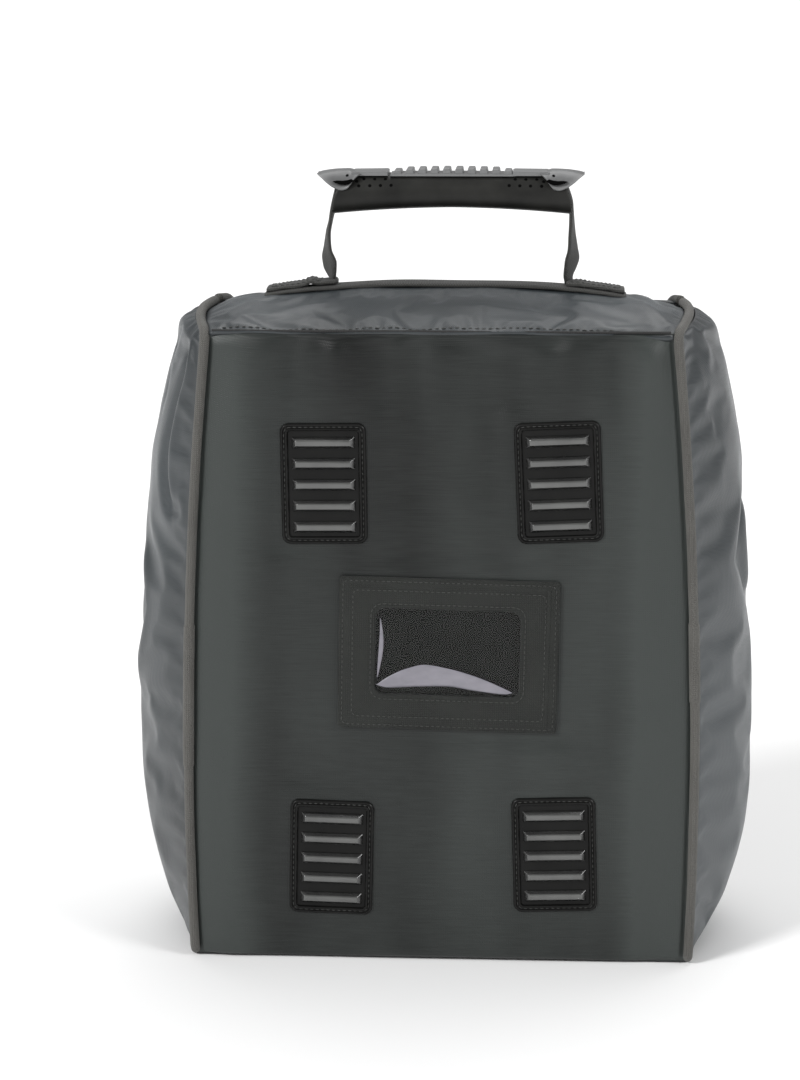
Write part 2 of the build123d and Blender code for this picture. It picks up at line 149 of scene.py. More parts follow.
_bulge = pchip([0, 4, 12, 30, 55, 90, 130, 170, 210, 250, 280, 300, 320],
               [0, 6.0, 12.5, 20.0, 26.0, 28.6, 28.6, 27.4, 26.4, 25.6, 22.6, 20.0, 17.5])
_base = pchip([-66, -62, -34, -4, 12, 24.5, 31, 37.5, 53, 63.5, 66], [316.4, 317.7, 319.4, 320.0, 319.8, 319.05, 319, 319, 316.6, 311.4, 309.0])
_lift = pchip([-66, -62, -34, -4, 12, 24.5, 37.5, 66], [0, 0.05, 0.66, 1.0, 0.84, 0, 0, 0])


def crown(x):
    t = np.minimum(1.0, np.abs(x) / 116.0)
    return 12.2 * (1 - t ** 2.9)


def top_z(x, y):
    return _base(y) + _lift(y) * crown(x)


def side_x(y, z):
    """Half width of the outside of the bag."""
    s = np.clip((y - MID_Y) / HALF_Y, -1, 1)
    b = _bulge(z)
    zt = top_z(119.0, y)
    k = np.clip((z - 294.0) / (zt - 294.0), 0, 1)
    b = b * np.maximum(0, 1 - k**2.6) ** 0.6
    return seam_x(y, z) + b * (1 - np.abs(s) ** 2.1)


# ------------------------------------------------------------- mesh helpers
def obj_from(name, verts, faces, mat, shade=True):
    me = bpy.data.meshes.new(name)
    me.from_pydata([tuple(map(float, v)) for v in verts], [], [tuple(f) for f in faces])
    me.validate()
    me.update()
    o = bpy.data.objects.new(name, me)
    SCENE.collection.objects.link(o)
    if mat:
        me.materials.append(mat)
    if shade:
        me.shade_smooth()
    return o


def grid_faces(nu, nv, base=0, wrap=False, flip=False):
    out = []
    for i in range(nu if wrap else nu - 1):
        for j in range(nv - 1):
            a, b = base + i * nv + j, base + ((i + 1) % nu) * nv + j
            f = (a, b, b + 1, a + 1)
            out.append(f[::-1] if flip else f)
    return out


def normals(P):
    du = np.gradient(P, axis=0)
    dv = np.gradient(P, axis=1)
    n = np.cross(du, dv)
    return n / np.maximum(np.linalg.norm(n, axis=2, keepdims=True), 1e-9)


def slab(name, P, thick, mat, out=(0, 0, 0), level=1):
    """A closed padded sheet: P is the outer face in mm (nu, nv, 3), thick inwards, with a rounded edge."""
    nu, nv = P.shape[:2]
    n = normals(P)
    if np.sum(n * np.array(out)) < 0:
        n = -n
    Q = P - n * thick
    V = np.concatenate([P.reshape(-1, 3), Q.reshape(-1, 3)]) * MM
    flip = np.sum(normals(P) * np.array(out)) < 0
    F = grid_faces(nu, nv, 0, flip=flip) + grid_faces(nu, nv, nu * nv, flip=not flip)
    ring = [(i, 0) for i in range(nu)] + [(nu - 1, j) for j in range(1, nv)] + \
        [(i, nv - 1) for i in range(nu - 2, -1, -1)] + [(0, j) for j in range(nv - 2, 0, -1)]
    ids = [i * nv + j for i, j in ring]
    for a, b in zip(ids, ids[1:] + ids[:1]):
        f = (a, b, b + nu * nv, a + nu * nv)
        F.append(f if flip else f[::-1])
    o = obj_from(name, V, F, mat)
    bm = bmesh.new()
    bm.from_mesh(o.data)
    bmesh.ops.recalc_face_normals(bm, faces=bm.faces)
    bm.to_mesh(o.data)
    bm.free()
    if level:
        m = o.modifiers.new("sub", "SUBSURF")
        m.levels = m.render_levels = level
    return o


def tube(name, path, radius, seg, mat, squash=None):
    """A closed round tube along points in mm. radius may vary along it."""
    P = np.array(path, float)
    n = len(P)
    T = np.gradient(P, axis=0)
    T /= np.linalg.norm(T, axis=1, keepdims=True)
    up = np.array([1.0, 0.03, 0.02]) if abs(T[0][0]) < 0.9 else np.array([0, 1.0, 0])
    A = np.zeros_like(P)
    a = up - T[0] * (up @ T[0])
    for i in range(n):
        a = a - T[i] * (a @ T[i])
        a /= np.linalg.norm(a)
        A[i] = a
    B = np.cross(T, A)
    R = np.full(n, radius) if np.isscalar(radius) else np.asarray(radius, float)
    th = np.linspace(0, 2 * np.pi, seg, endpoint=False)
    V = P[:, None] + R[:, None, None] * (np.cos(th)[None, :, None] * A[:, None] + np.sin(th)[None, :, None] * B[:, None])
    F = []
    for i in range(n - 1):
        for j in range(seg):
            k = (j + 1) % seg
            F.append((i * seg + j, i * seg + k, (i + 1) * seg + k, (i + 1) * seg + j))
    F.append(tuple(range(seg))[::-1])
    F.append(tuple((n - 1) * seg + j for j in range(seg)))
    return obj_from(name, V.reshape(-1, 3) * MM, F, mat)


def resample(path, step):
    P = np.array(path, float)
    d = np.r_[0, np.cumsum(np.linalg.norm(np.diff(P, axis=0), axis=1))]
    n = max(2, int(round(d[-1] / step)) + 1)
    s = np.linspace(0, d[-1], n)
    return np.stack([np.interp(s, d, P[:, k]) for k in range(P.shape[1])], 1)


def rounded_run(points, radii):
    """A run of straight lines with round corners, as many points."""
    P = [np.array(p, float) for p in points]
    out = [P[0]]
    for i, r in enumerate(radii):
        a, b, c = P[i], P[i + 1], P[i + 2]
        u, v = (a - b) / np.linalg.norm(a - b), (c - b) / np.linalg.norm(c - b)
        ang = math.acos(np.clip(u @ v, -1, 1))
        t = r / math.tan(ang / 2)
        p, q = b + u * t, b + v * t
        for k in np.linspace(0, 1, 14):
            out.append((1 - k) ** 2 * p + 2 * k * (1 - k) * b + k * k * q)
    out.append(P[-1])
    return np.array(out)


def join(name, objs):
    bpy.ops.object.select_all(action="DESELECT")
    for o in objs:
        o.select_set(True)
    bpy.context.view_layer.objects.active = objs[0]
    bpy.ops.object.join()
    objs[0].name = name
    objs[0].data.name = name
    return objs[0]


def stitches(name, path, mat, out, pitch=3.0, length=2.1, r=0.24, lift=0.12):
    """A row of thread stitches along points in mm, sunk at both ends. out gives each point's outward normal."""
    P = resample(path, pitch)
    N = resample(out, 1e9) if False else None
    pieces_v, pieces_f = [], []
    seg, rows = 6, 5
    outs = np.array(out, float)
    for i in range(len(P) - 1):
        a, b = P[i], P[i + 1]
        t = (b - a) / max(np.linalg.norm(b - a), 1e-9)
        n = outs if outs.ndim == 1 else outs[min(len(outs) - 1, int(i / max(1, len(P) - 1) * (len(outs) - 1)))]
        n = n - t * (n @ t)
        n /= np.linalg.norm(n)
        s = np.cross(t, n)
        c = (a + b) / 2
        base = len(pieces_v)
        for k in range(rows):
            q = k / (rows - 1) * 2 - 1
            centre = c + t * q * length / 2 + n * (lift - 0.34 * q * q * q * q - 0.05)
            rr = r * (1 - 0.45 * q * q)
            for j in range(seg):
                ang = 2 * math.pi * j / seg
                pieces_v.append((centre + s * math.cos(ang) * rr + n * math.sin(ang) * rr * 0.8) * MM)
        for k in range(rows - 1):
            for j in range(seg):
                j2 = (j + 1) % seg
                pieces_f.append((base + k * seg + j, base + k * seg + j2, base + (k + 1) * seg + j2, base + (k + 1) * seg + j))
        pieces_f.append(tuple(base + j for j in range(seg))[::-1])
        pieces_f.append(tuple(base + (rows - 1) * seg + j for j in range(seg)))
    return obj_from(name, pieces_v, pieces_f, mat)


# ------------------------------------------------------------- materials
def nodes_of(name):
    m = bpy.data.materials.new(name)
    m.use_nodes = True
    nt = m.node_tree
    return m, nt, nt.nodes["Principled BSDF"]


def add(nt, kind, **values):
    n = nt.nodes.new(kind)
    for k, v in values.items():
        if k in n.inputs:
            n.inputs[k].default_value = v
        else:
            setattr(n, k, v)
    return n


def math_node(nt, op, a, b=None):
    n = nt.nodes.new("ShaderNodeMath")
    n.operation = op
    for i, x in enumerate((a, b)):
        if x is None:
            continue
        if isinstance(x, (int, float)):
            n.inputs[i].default_value = x
        else:
            nt.links.new(x, n.inputs[i])
    return n.outputs[0]


def noise(nt, coord, scale, detail=3.0, stretch=(1, 1, 1), rough=0.55):
    mp = nt.nodes.new("ShaderNodeMapping")
    mp.inputs["Scale"].default_value = stretch
    nt.links.new(coord, mp.inputs["Vector"])
    n = nt.nodes.new("ShaderNodeTexNoise")
    n.inputs["Scale"].default_value = scale
    n.inputs["Detail"].default_value = detail
    n.inputs["Roughness"].default_value = rough
    nt.links.new(mp.outputs[0], n.inputs["Vector"])
    return n.outputs["Fac"]


def weave(nt, coord, pitch):
    """A woven height: crossed threads on any face, by position."""
    sep = nt.nodes.new("ShaderNodeSeparateXYZ")
    nt.links.new(coord, sep.inputs[0])
    k = 2 * math.pi / pitch
    s = [math_node(nt, "SINE", math_node(nt, "MULTIPLY", sep.outputs[i], k)) for i in range(3)]
    a = math_node(nt, "MULTIPLY", s[0], s[2])
    b = math_node(nt, "MULTIPLY", s[1], s[2])
    c = math_node(nt, "MULTIPLY", s[0], s[1])
    return math_node(nt, "ADD", math_node(nt, "ADD", a, b), c)


def ramp(nt, fac, stops):
    r = nt.nodes.new("ShaderNodeValToRGB")
    while len(r.color_ramp.elements) < len(stops):
        r.color_ramp.elements.new(0.5)
    for e, (p, c) in zip(r.color_ramp.elements, stops):
        e.position, e.color = p, (*c, 1)
    nt.links.new(fac, r.inputs[0])
    return r.outputs[0]


def bump(nt, bsdf, height, strength, distance, below=None):
    b = nt.nodes.new("ShaderNodeBump")
    b.inputs["Strength"].default_value = strength
    b.inputs["Distance"].default_value = distance
    nt.links.new(height, b.inputs["Height"])
    if below:
        nt.links.new(below, b.inputs["Normal"])
    nt.links.new(b.outputs[0], bsdf.inputs["Normal"])
    return b.outputs[0]


def satin(name, dark, light, rough=0.46, sheen=0.35, tint=(0.75, 0.85, 0.95), pitch=0.0009, streak=1.0, spec=0.45, edge=None):
    """Coated satin nylon: fine weave, faint weft streaks, and uneven tone in broad upright bands that are partly random
    tone and partly painted sheen.
    """
    m, nt, b = nodes_of(name)
    tc = nt.nodes.new("ShaderNodeTexCoord").outputs["Object"]
    # broad bands stretched upright: partly random tone, partly painted sheen standing in for the satin's soft
    # highlights
    broad = math_node(nt, "ADD", math_node(nt, "MULTIPLY", noise(nt, tc, 11.0, 2.5, (1, 1, 0.28)), 1.5), -0.25)
    streaks = noise(nt, tc, 1.0, 2.0, (60, 60, 1400))
    mix = math_node(nt, "ADD", math_node(nt, "MULTIPLY", broad, 0.75), math_node(nt, "MULTIPLY", streaks, 0.25 * streak))
    if edge:
        # painted sheen: paler next to the side seams, where the cloth turns back off the board and catches the light
        sep = nt.nodes.new("ShaderNodeSeparateXYZ")
        nt.links.new(tc, sep.inputs[0])
        ax = math_node(nt, "ABSOLUTE", sep.outputs[0])
        mr = nt.nodes.new("ShaderNodeMapRange")
        mr.interpolation_type = "SMOOTHSTEP"
        mr.inputs["From Min"].default_value, mr.inputs["From Max"].default_value = edge[0], edge[1]
        mr.inputs["To Min"].default_value, mr.inputs["To Max"].default_value = 0.0, edge[2]
        nt.links.new(ax, mr.inputs["Value"])
        mix = math_node(nt, "ADD", mix, mr.outputs[0])
    nt.links.new(ramp(nt, mix, [(0.30, dark), (0.84 if edge else 0.72, light)]), b.inputs["Base Color"])
    nt.links.new(math_node(nt, "ADD", math_node(nt, "MULTIPLY", streaks, 0.12), rough - 0.06), b.inputs["Roughness"])
    b.inputs["Sheen Weight"].default_value = sheen
    b.inputs["Sheen Roughness"].default_value = 0.35
    b.inputs["Sheen Tint"].default_value = (*tint, 1)
    b.inputs["Specular IOR Level"].default_value = spec
    w = weave(nt, tc, pitch)
    first = bump(nt, b, w, 0.25, 0.00012)
    bump(nt, b, streaks, 0.25 * streak, 0.00025, first)
    return m


def woven(name, dark, light, pitch, rough=0.75, sheen=0.2, rib=None, depth=0.0003):
    """Woven webbing, tape or piping: thick threads that show."""
    m, nt, b = nodes_of(name)
    tc = nt.nodes.new("ShaderNodeTexCoord").outputs["Object"]
    w = weave(nt, tc, pitch)
    fuzz = noise(nt, tc, 1500.0, 2.0)
    broad = noise(nt, tc, 30.0, 3.0)
    tone = math_node(nt, "ADD", math_node(nt, "MULTIPLY", w, 0.16), math_node(nt, "ADD", math_node(nt, "MULTIPLY", fuzz, 0.35), math_node(nt, "MULTIPLY", broad, 0.5)))
    nt.links.new(ramp(nt, tone, [(0.2, dark), (0.75, light)]), b.inputs["Base Color"])
    b.inputs["Roughness"].default_value = rough
    b.inputs["Sheen Weight"].default_value = sheen
    b.inputs["Sheen Roughness"].default_value = 0.5
    first = bump(nt, b, w, 0.6, depth)
    bump(nt, b, fuzz, 0.25, 0.0001, first)
    return m


def moulded(name, dark, light, rough, grain=2500.0, depth=0.00006, coat=0.0, spec=0.5, painted_edge_highlight=0.0):
    """Moulded rubber or soft plastic, with a fine grain and paler convex edges, a painted edge highlight."""
    m, nt, b = nodes_of(name)
    tc = nt.nodes.new("ShaderNodeTexCoord").outputs["Object"]
    g = noise(nt, tc, grain, 2.0)
    broad = noise(nt, tc, 60.0, 4.0)
    tone = broad
    if painted_edge_highlight:
        # painted highlight: convex edges, found by pointiness, are made paler
        geo = nt.nodes.new("ShaderNodeNewGeometry").outputs["Pointiness"]
        edge = nt.nodes.new("ShaderNodeMapRange")
        edge.inputs["From Min"].default_value, edge.inputs["From Max"].default_value = 0.51, 0.58
        edge.inputs["To Max"].default_value = painted_edge_highlight
        nt.links.new(geo, edge.inputs["Value"])
        tone = math_node(nt, "ADD", broad, edge.outputs[0])
    nt.links.new(ramp(nt, tone, [(0.3, dark), (0.9, light)]), b.inputs["Base Color"])
    nt.links.new(math_node(nt, "ADD", math_node(nt, "MULTIPLY", broad, 0.16), rough - 0.08), b.inputs["Roughness"])
    b.inputs["Coat Weight"].default_value = coat
    b.inputs["Coat Roughness"].default_value = 0.12
    b.inputs["Specular IOR Level"].default_value = spec
    bump(nt, b, g, 0.5, depth)
    return m


# front, side and top are one satin in separate copies: the side and top copies are paler and bluer, painted sheen where
# those faces catch the light, and the front's edge ramp is painted sheen too
FRONT_M = satin("front_satin", (0.0016, 0.0022, 0.0019), (0.036, 0.0418, 0.0394), rough=0.36, sheen=0.015, spec=0.36, edge=(0.080, 0.113, 0.60))
SIDE_M = satin("side_satin", (0.0125, 0.016, 0.018), (0.038, 0.046, 0.051), rough=0.34, sheen=0.04, spec=0.6)
TOP_M = satin("top_satin", (0.015, 0.019, 0.021), (0.040, 0.047, 0.052), rough=0.33, sheen=0.08, spec=0.6)
BASE_M = satin("base_satin", (0.012, 0.013, 0.013), (0.024, 0.026, 0.026), rough=0.6, sheen=0.05)
LINING_M = woven("lining_cloth", (0.010, 0.011, 0.012), (0.024, 0.026, 0.027), 0.0011, 0.8, 0.08)
PIPE_M = woven("piping_cloth", (0.050, 0.048, 0.043), (0.118, 0.115, 0.104), 0.0010, 0.62, 0.10)
WEB_M = woven("webbing_cloth", (0.014, 0.014, 0.0125), (0.042, 0.042, 0.038), 0.0013, 0.68, 0.10)
TAPE_M = woven("zip_tape_cloth", (0.008, 0.008, 0.008), (0.02, 0.02, 0.02), 0.0008, 0.75, 0.05)
PATCH_M = woven("patch_cloth", (0.008, 0.009, 0.008), (0.026, 0.029, 0.0255), 0.0009, 0.56, 0.06)
PATCH_M.node_tree.nodes["Principled BSDF"].inputs["Specular IOR Level"].default_value = 0.28
THREAD_M = woven("thread", (0.022, 0.023, 0.021), (0.075, 0.077, 0.072), 0.0006, 0.55, 0.05)
COIL_M = moulded("zip_coil_nylon", (0.008, 0.008, 0.008), (0.018, 0.018, 0.018), 0.35)
PAD_M = moulded("pad_plastic", (0.0030, 0.0030, 0.0028), (0.009, 0.009, 0.0085), 0.30, 1800.0, 0.00003, coat=0.04, spec=0.16, painted_edge_highlight=0.2)
RIB_M = moulded("pad_rib_plastic", (0.010, 0.010, 0.010), (0.022, 0.022, 0.021), 0.16, 1800.0, 0.00003, coat=1.0, spec=0.8)
# paler plastic for the ribs' top facets: a painted highlight
RIB_HIGHLIGHT_M = moulded("pad_rib_painted_highlight", (0.036, 0.037, 0.035), (0.085, 0.087, 0.083), 0.24, 1800.0, 0.00003, coat=0.8, spec=0.8)
GRIP_M = moulded("grip_rubber", (0.007, 0.007, 0.0063), (0.022, 0.022, 0.0195), 0.46, 2600.0, 0.00008, spec=0.26, painted_edge_highlight=0.4)
GRIP_TOP_M = moulded("grip_back_rubber", (0.085, 0.086, 0.087), (0.165, 0.167, 0.168), 0.36, 2600.0, 0.00006, painted_edge_highlight=0.4)
# near-black recess material: painted shade inside the grip's holes and in the scoops under the hood rims
RECESS_SHADE_M = moulded("recess_painted_shade", (0.001, 0.001, 0.001), (0.003, 0.003, 0.003), 0.95, spec=0.05)
METAL_M = moulded("dark_metal", (0.05, 0.05, 0.053), (0.11, 0.11, 0.115), 0.34, 900.0, 0.00002, painted_edge_highlight=0.5)
METAL_M.node_tree.nodes["Principled BSDF"].inputs["Metallic"].default_value = 0.85
POCKET_M = moulded("pocket_back", (0.0030, 0.0036, 0.0030), (0.010, 0.011, 0.0098), 0.7, 900.0, 0.000004, spec=0.2)
FOAM_M = moulded("foam_board", (0.020, 0.020, 0.020), (0.045, 0.045, 0.045), 0.85, 900.0, 0.0002)

m, nt, b = nodes_of("clear_film")
tc = nt.nodes.new("ShaderNodeTexCoord").outputs["Object"]
dust = noise(nt, tc, 55.0, 5.0, (1, 1, 0.4))
nt.links.new(ramp(nt, dust, [(0.35, (0.97, 0.97, 0.97)), (0.75, (0.86, 0.87, 0.86))]), b.inputs["Base Color"])
nt.links.new(math_node(nt, "ADD", math_node(nt, "MULTIPLY", dust, 0.05), 0.01), b.inputs["Roughness"])
b.inputs["Transmission Weight"].default_value = 1.0
b.inputs["IOR"].default_value = 1.20
bump(nt, b, noise(nt, tc, 40.0, 1.0), 0.1, 0.00005)
FILM_M = m

# painted reflection: where the film stands away from the pocket it catches the light as one pale patch, painted into
# this pale material
m, nt, b = nodes_of("clear_film_glare")
tc = nt.nodes.new("ShaderNodeTexCoord").outputs["Object"]
glare_tone = noise(nt, tc, 70.0, 3.0, (1, 1, 2.5))
nt.links.new(ramp(nt, glare_tone, [(0.3, (0.175, 0.170, 0.195)), (0.7, (0.230, 0.222, 0.250))]), b.inputs["Base Color"])
nt.links.new(math_node(nt, "ADD", math_node(nt, "MULTIPLY", glare_tone, 0.15), 0.10), b.inputs["Roughness"])
b.inputs["Specular IOR Level"].default_value = 0.4
GLARE_M = m


# ------------------------------------------------------------- soft relaxing
def relax(P, pins, out, seconds=18, shrink=-0.03, pressure=0.6, cap=4.0, stiff=12.0, bend=1.2):
    """Cloth simulation of one panel: the sheet is a little larger than its frame, held along its
    seams, and settles into folds. P is (nu, nv, 3) in mm, pins is (nu, nv) from 0 to 1."""
    nu, nv = P.shape[:2]
    faces = grid_faces(nu, nv)
    if np.sum(normals(P) * np.array(out)) < 0:
        faces = [f[::-1] for f in faces]
    o = obj_from("sim_sheet", P.reshape(-1, 3) * MM * 10, faces, None)
    g = o.vertex_groups.new(name="pin")
    w = pins.ravel()
    for level in np.unique(np.round(w, 1)):
        if level > 0:
            g.add([int(i) for i in np.nonzero(np.abs(w - level) < 0.051)[0]], float(level), "REPLACE")
    md = o.modifiers.new("Cloth", "CLOTH")
    s = md.settings
    s.quality = 7
    s.mass = 0.4
    s.tension_stiffness = s.compression_stiffness = stiff
    s.shear_stiffness = stiff * 0.5
    s.bending_stiffness = bend
    s.tension_damping = s.compression_damping = 12
    s.air_damping = 3
    s.shrink_min = shrink
    s.vertex_group_mass = "pin"
    s.use_pressure = pressure != 0
    s.uniform_pressure_force = pressure
    s.effector_weights.gravity = 0.0
    md.collision_settings.use_collision = False
    md.collision_settings.use_self_collision = False
    md.point_cache.frame_start, md.point_cache.frame_end = 1, seconds
    for f in range(1, seconds + 1):
        SCENE.frame_set(f)
    ev = o.evaluated_get(bpy.context.evaluated_depsgraph_get())
    co = np.array([v.co for v in ev.data.vertices], float) / MM / 10
    SCENE.frame_set(1)
    bpy.data.objects.remove(o)
    move = co.reshape(nu, nv, 3) - P
    d = np.linalg.norm(move, axis=2, keepdims=True)
    return P + move * np.minimum(1, cap / np.maximum(d, 1e-9)) * (d < 60)


def edge_pins(nu, nv, margin, power=1.0):
    i, j = np.meshgrid(np.arange(nu), np.arange(nv), indexing="ij")
    d = np.minimum(np.minimum(i, nu - 1 - i), np.minimum(j, nv - 1 - j))
    return np.clip(1 - d / margin, 0, 1) ** power


def ride(o, body, slot, *replaced):
    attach(o, body)
    if replaced:
        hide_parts(*replaced)
    return o


# ------------------------------------------------------------- flat faces
LOFT = 1.7              # how far the cloth stands off its board
SEWN = []               # where pads and the card holder are sewn down: centre x, z and half sizes
for key in ("ribbed_pad_upper_left", "ribbed_pad_upper_right", "ribbed_pad_lower_left", "ribbed_pad_lower_right", "card_frame"):
    lo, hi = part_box(key)
    SEWN.append(((lo.x + hi.x) / 2 / MM, (lo.z + hi.z) / 2 / MM, (hi.x - lo.x) / 2 / MM, (hi.z - lo.z) / 2 / MM))


def free_of_sewn(x, z):
    """0 where something is sewn down flat, rising to 1 a little way off."""
    out = 1.0
    for cx, cz, hw, hh in SEWN:
        d = np.hypot(np.maximum(np.abs(x - cx) - hw, 0), np.maximum(np.abs(z - cz) - hh, 0))
        out = out * smooth(0.0, 13.0, d)
    return out


def flat_face(sign, nx, nz, z0, z1, seed, inset=0.7):
    """The flat front (sign -1) or rear (sign 1) face: level over its board, easing back to the seams."""
    u = np.linspace(-1, 1, nx)
    u = np.sign(u) * (1 - (1 - np.abs(u)) ** 1.25)
    z = z0 + (z1 - z0) * (0.5 - 0.5 * np.cos(np.pi * np.linspace(0, 1, nz))) * 0.45 + (z1 - z0) * np.linspace(0, 1, nz) * 0.55
    U, Z = np.meshgrid(u, z, indexing="ij")
    w = seam_w(Z) - inset
    X = U * w
    e = w - np.abs(X)
    ax = np.abs(X) * 117.0 / w + 2.5 * np.sin(Z / 37.0 + np.sign(X))
    depth = (2.3 + 0.8 * np.sin(Z / 52.0 + 2 * np.sign(X))) * smooth(88.0, 121.0, ax) + 0.9 * np.exp(-e / 2.2) - 0.20
    depth = depth - 0.7 * bell(ax, 99.0, 9.0) * (0.5 + 0.5 * np.sin(Z / 41.0 - np.sign(X)))
    wv, fine = Waves(seed, 60, 190), Waves(seed + 1, 16, 34)
    folds = 2.6 * wv(X, Z, 2.2) + 0.30 * fine(X, Z, 1.5)
    # gathers where the sheet is sewn in, dying away from the seam
    g = Waves(seed + 2, 13, 30)
    top = np.clip(z1 - Z, 0, None)
    folds = folds + 3.6 * g(X, Z * 0.10) * np.exp(-top / 26.0) * smooth(-1, 7, top) + 2.4 * g(X * 0.6 + 9, Z * 0.05) * np.exp(-top / 70.0) * smooth(0, 12, top)
    low = np.clip(Z - z0, 0, None)
    folds = folds + 0.9 * g(X + 40, Z * 0.12) * np.exp(-low / 18.0) * smooth(-1, 6, low)
    side = np.exp(-e / 10.0)
    folds = folds + 0.9 * Waves(seed + 3, 22, 46)(Z, X * 0.2) * side
    hold = (1 - np.exp(-e / 5.0)) * (1 - np.exp(-top / 4.0)) * (1 - np.exp(-low / 4.0))
    loose = free_of_sewn(X, Z) if sign < 0 else 1.0
    depth = depth * loose + folds * loose * hold - LOFT * hold + 0.9 * (1 - hold) ** 4
    on_board = smooth(w - 1.5, w - 3.8, np.abs(X)) * smooth(1.5, 3.5, Z) * smooth(315.5, 313.0, Z)
    depth = np.where(on_board > 0, np.minimum(depth, 0.6 * on_board + 3.0 * (1 - on_board)), depth)
    depth = np.minimum(depth, 1.7)          # the edge runs into the cord, with no gap
    face = -FRONT if sign < 0 else REAR
    return np.stack([X, face - sign * depth, Z], 2)


P = flat_face(-1, 150, 170, 1.2, 317.2, 11)
front = slab("front_panel_cloth", P, 1.3, FRONT_M, (0, -1, 0))
ride(front, "shell", "shell_fabric", "front_panel")

P = flat_face(1, 90, 110, 5.0, 310.6, 61)
rear = slab("rear_panel_cloth", P, 1.3, FRONT_M, (0, 1, 0))
ride(rear, "cover", "shell_fabric", "rear_panel")


# ------------------------------------------------------------- top
def top_face(y0, y1, nx, ny, seed, over=1.8, lip=True):
    u = np.linspace(-1, 1, nx)
    t = np.linspace(0, 1, ny)
    U, T = np.meshgrid(u, t, indexing="ij")
    Y = y0 + (y1 - y0) * (T ** 1.15 if lip else T)
    X = U * (seam_x(Y, 319.0) - over)
    Z = top_z(X, Y)
    g, wv, fine = Waves(seed, 14, 34), Waves(seed + 1, 40, 110), Waves(seed + 2, 18, 40)
    e = seam_x(Y, 319.0) - np.abs(X)
    if lip:
        near = np.clip(Y - y0, 0, None)
        Z = Z + 1.7 * g(X, Y * 0.30) * np.exp(-near / 15.0) * smooth(0, 5, near) - 1.5 * np.exp(-near / 1.8)
    Z = Z + 1.5 * wv(X, Y) + 0.25 * fine(X, Y)
    Z = Z - 0.9 * np.exp(-e / 5.0) + 0.55 * Waves(seed + 3, 16, 36)(Y, X * 0.3) * np.exp(-e / 16.0)
    return X, Y, Z


X, Y, Z = top_face(-FRONT, SHELL_Y, 150, 70, 21)
# folds that run in from the front corners
for cx, cy, ang, length, amp, wd in ((100, -30, 118, 30, 1.5, 4.0), (84, -44, 150, 26, -0.9, 5.0), (-100, -34, 60, 26, 1.1, 4.0),
                                     (-70, -40, 25, 34, 0.8, 4.5), (40, -46, 172, 30, 0.7, 4.0), (106, -6, 95, 22, -0.8, 4.0)):
    a = math.radians(ang)
    s = (X - cx) * math.cos(a) + (Y - cy) * math.sin(a)
    t = -(X - cx) * math.sin(a) + (Y - cy) * math.cos(a)
    Z = Z + amp * np.exp(-(t / wd) ** 2) * np.exp(-np.abs(s / length) ** 2.4)
Yf = Y - 0.5 * np.exp(-(Y + FRONT) / 1.5)
P = np.stack([X, Yf, Z], 2)
pins = np.maximum(edge_pins(150, 70, 3.0), bell(Y, 0, 16) * (np.abs(X) < 92))
P = relax(P, np.clip(pins, 0, 1), (0, 0, 1), shrink=-0.012, pressure=0.25, cap=1.6, bend=4.0)
row = np.argmin(np.abs(P[75, :, 1] + FRONT - 2.6))
seam_row = P[4:-4, row].copy()
top = slab("top_panel_cloth", P, 2.4, TOP_M, (0, 0, 1))
ride(top, "shell", "side_fabric", "top_panel")

X, Y, Z = top_face(COVER_Y, REAR - 0.6, 110, 30, 71, lip=False)
gus = slab("cover_top_gusset_cloth", np.stack([X, Y, Z], 2), 2.4, TOP_M, (0, 0, 1))
ride(gus, "cover", "side_fabric", "cover_top_gusset")


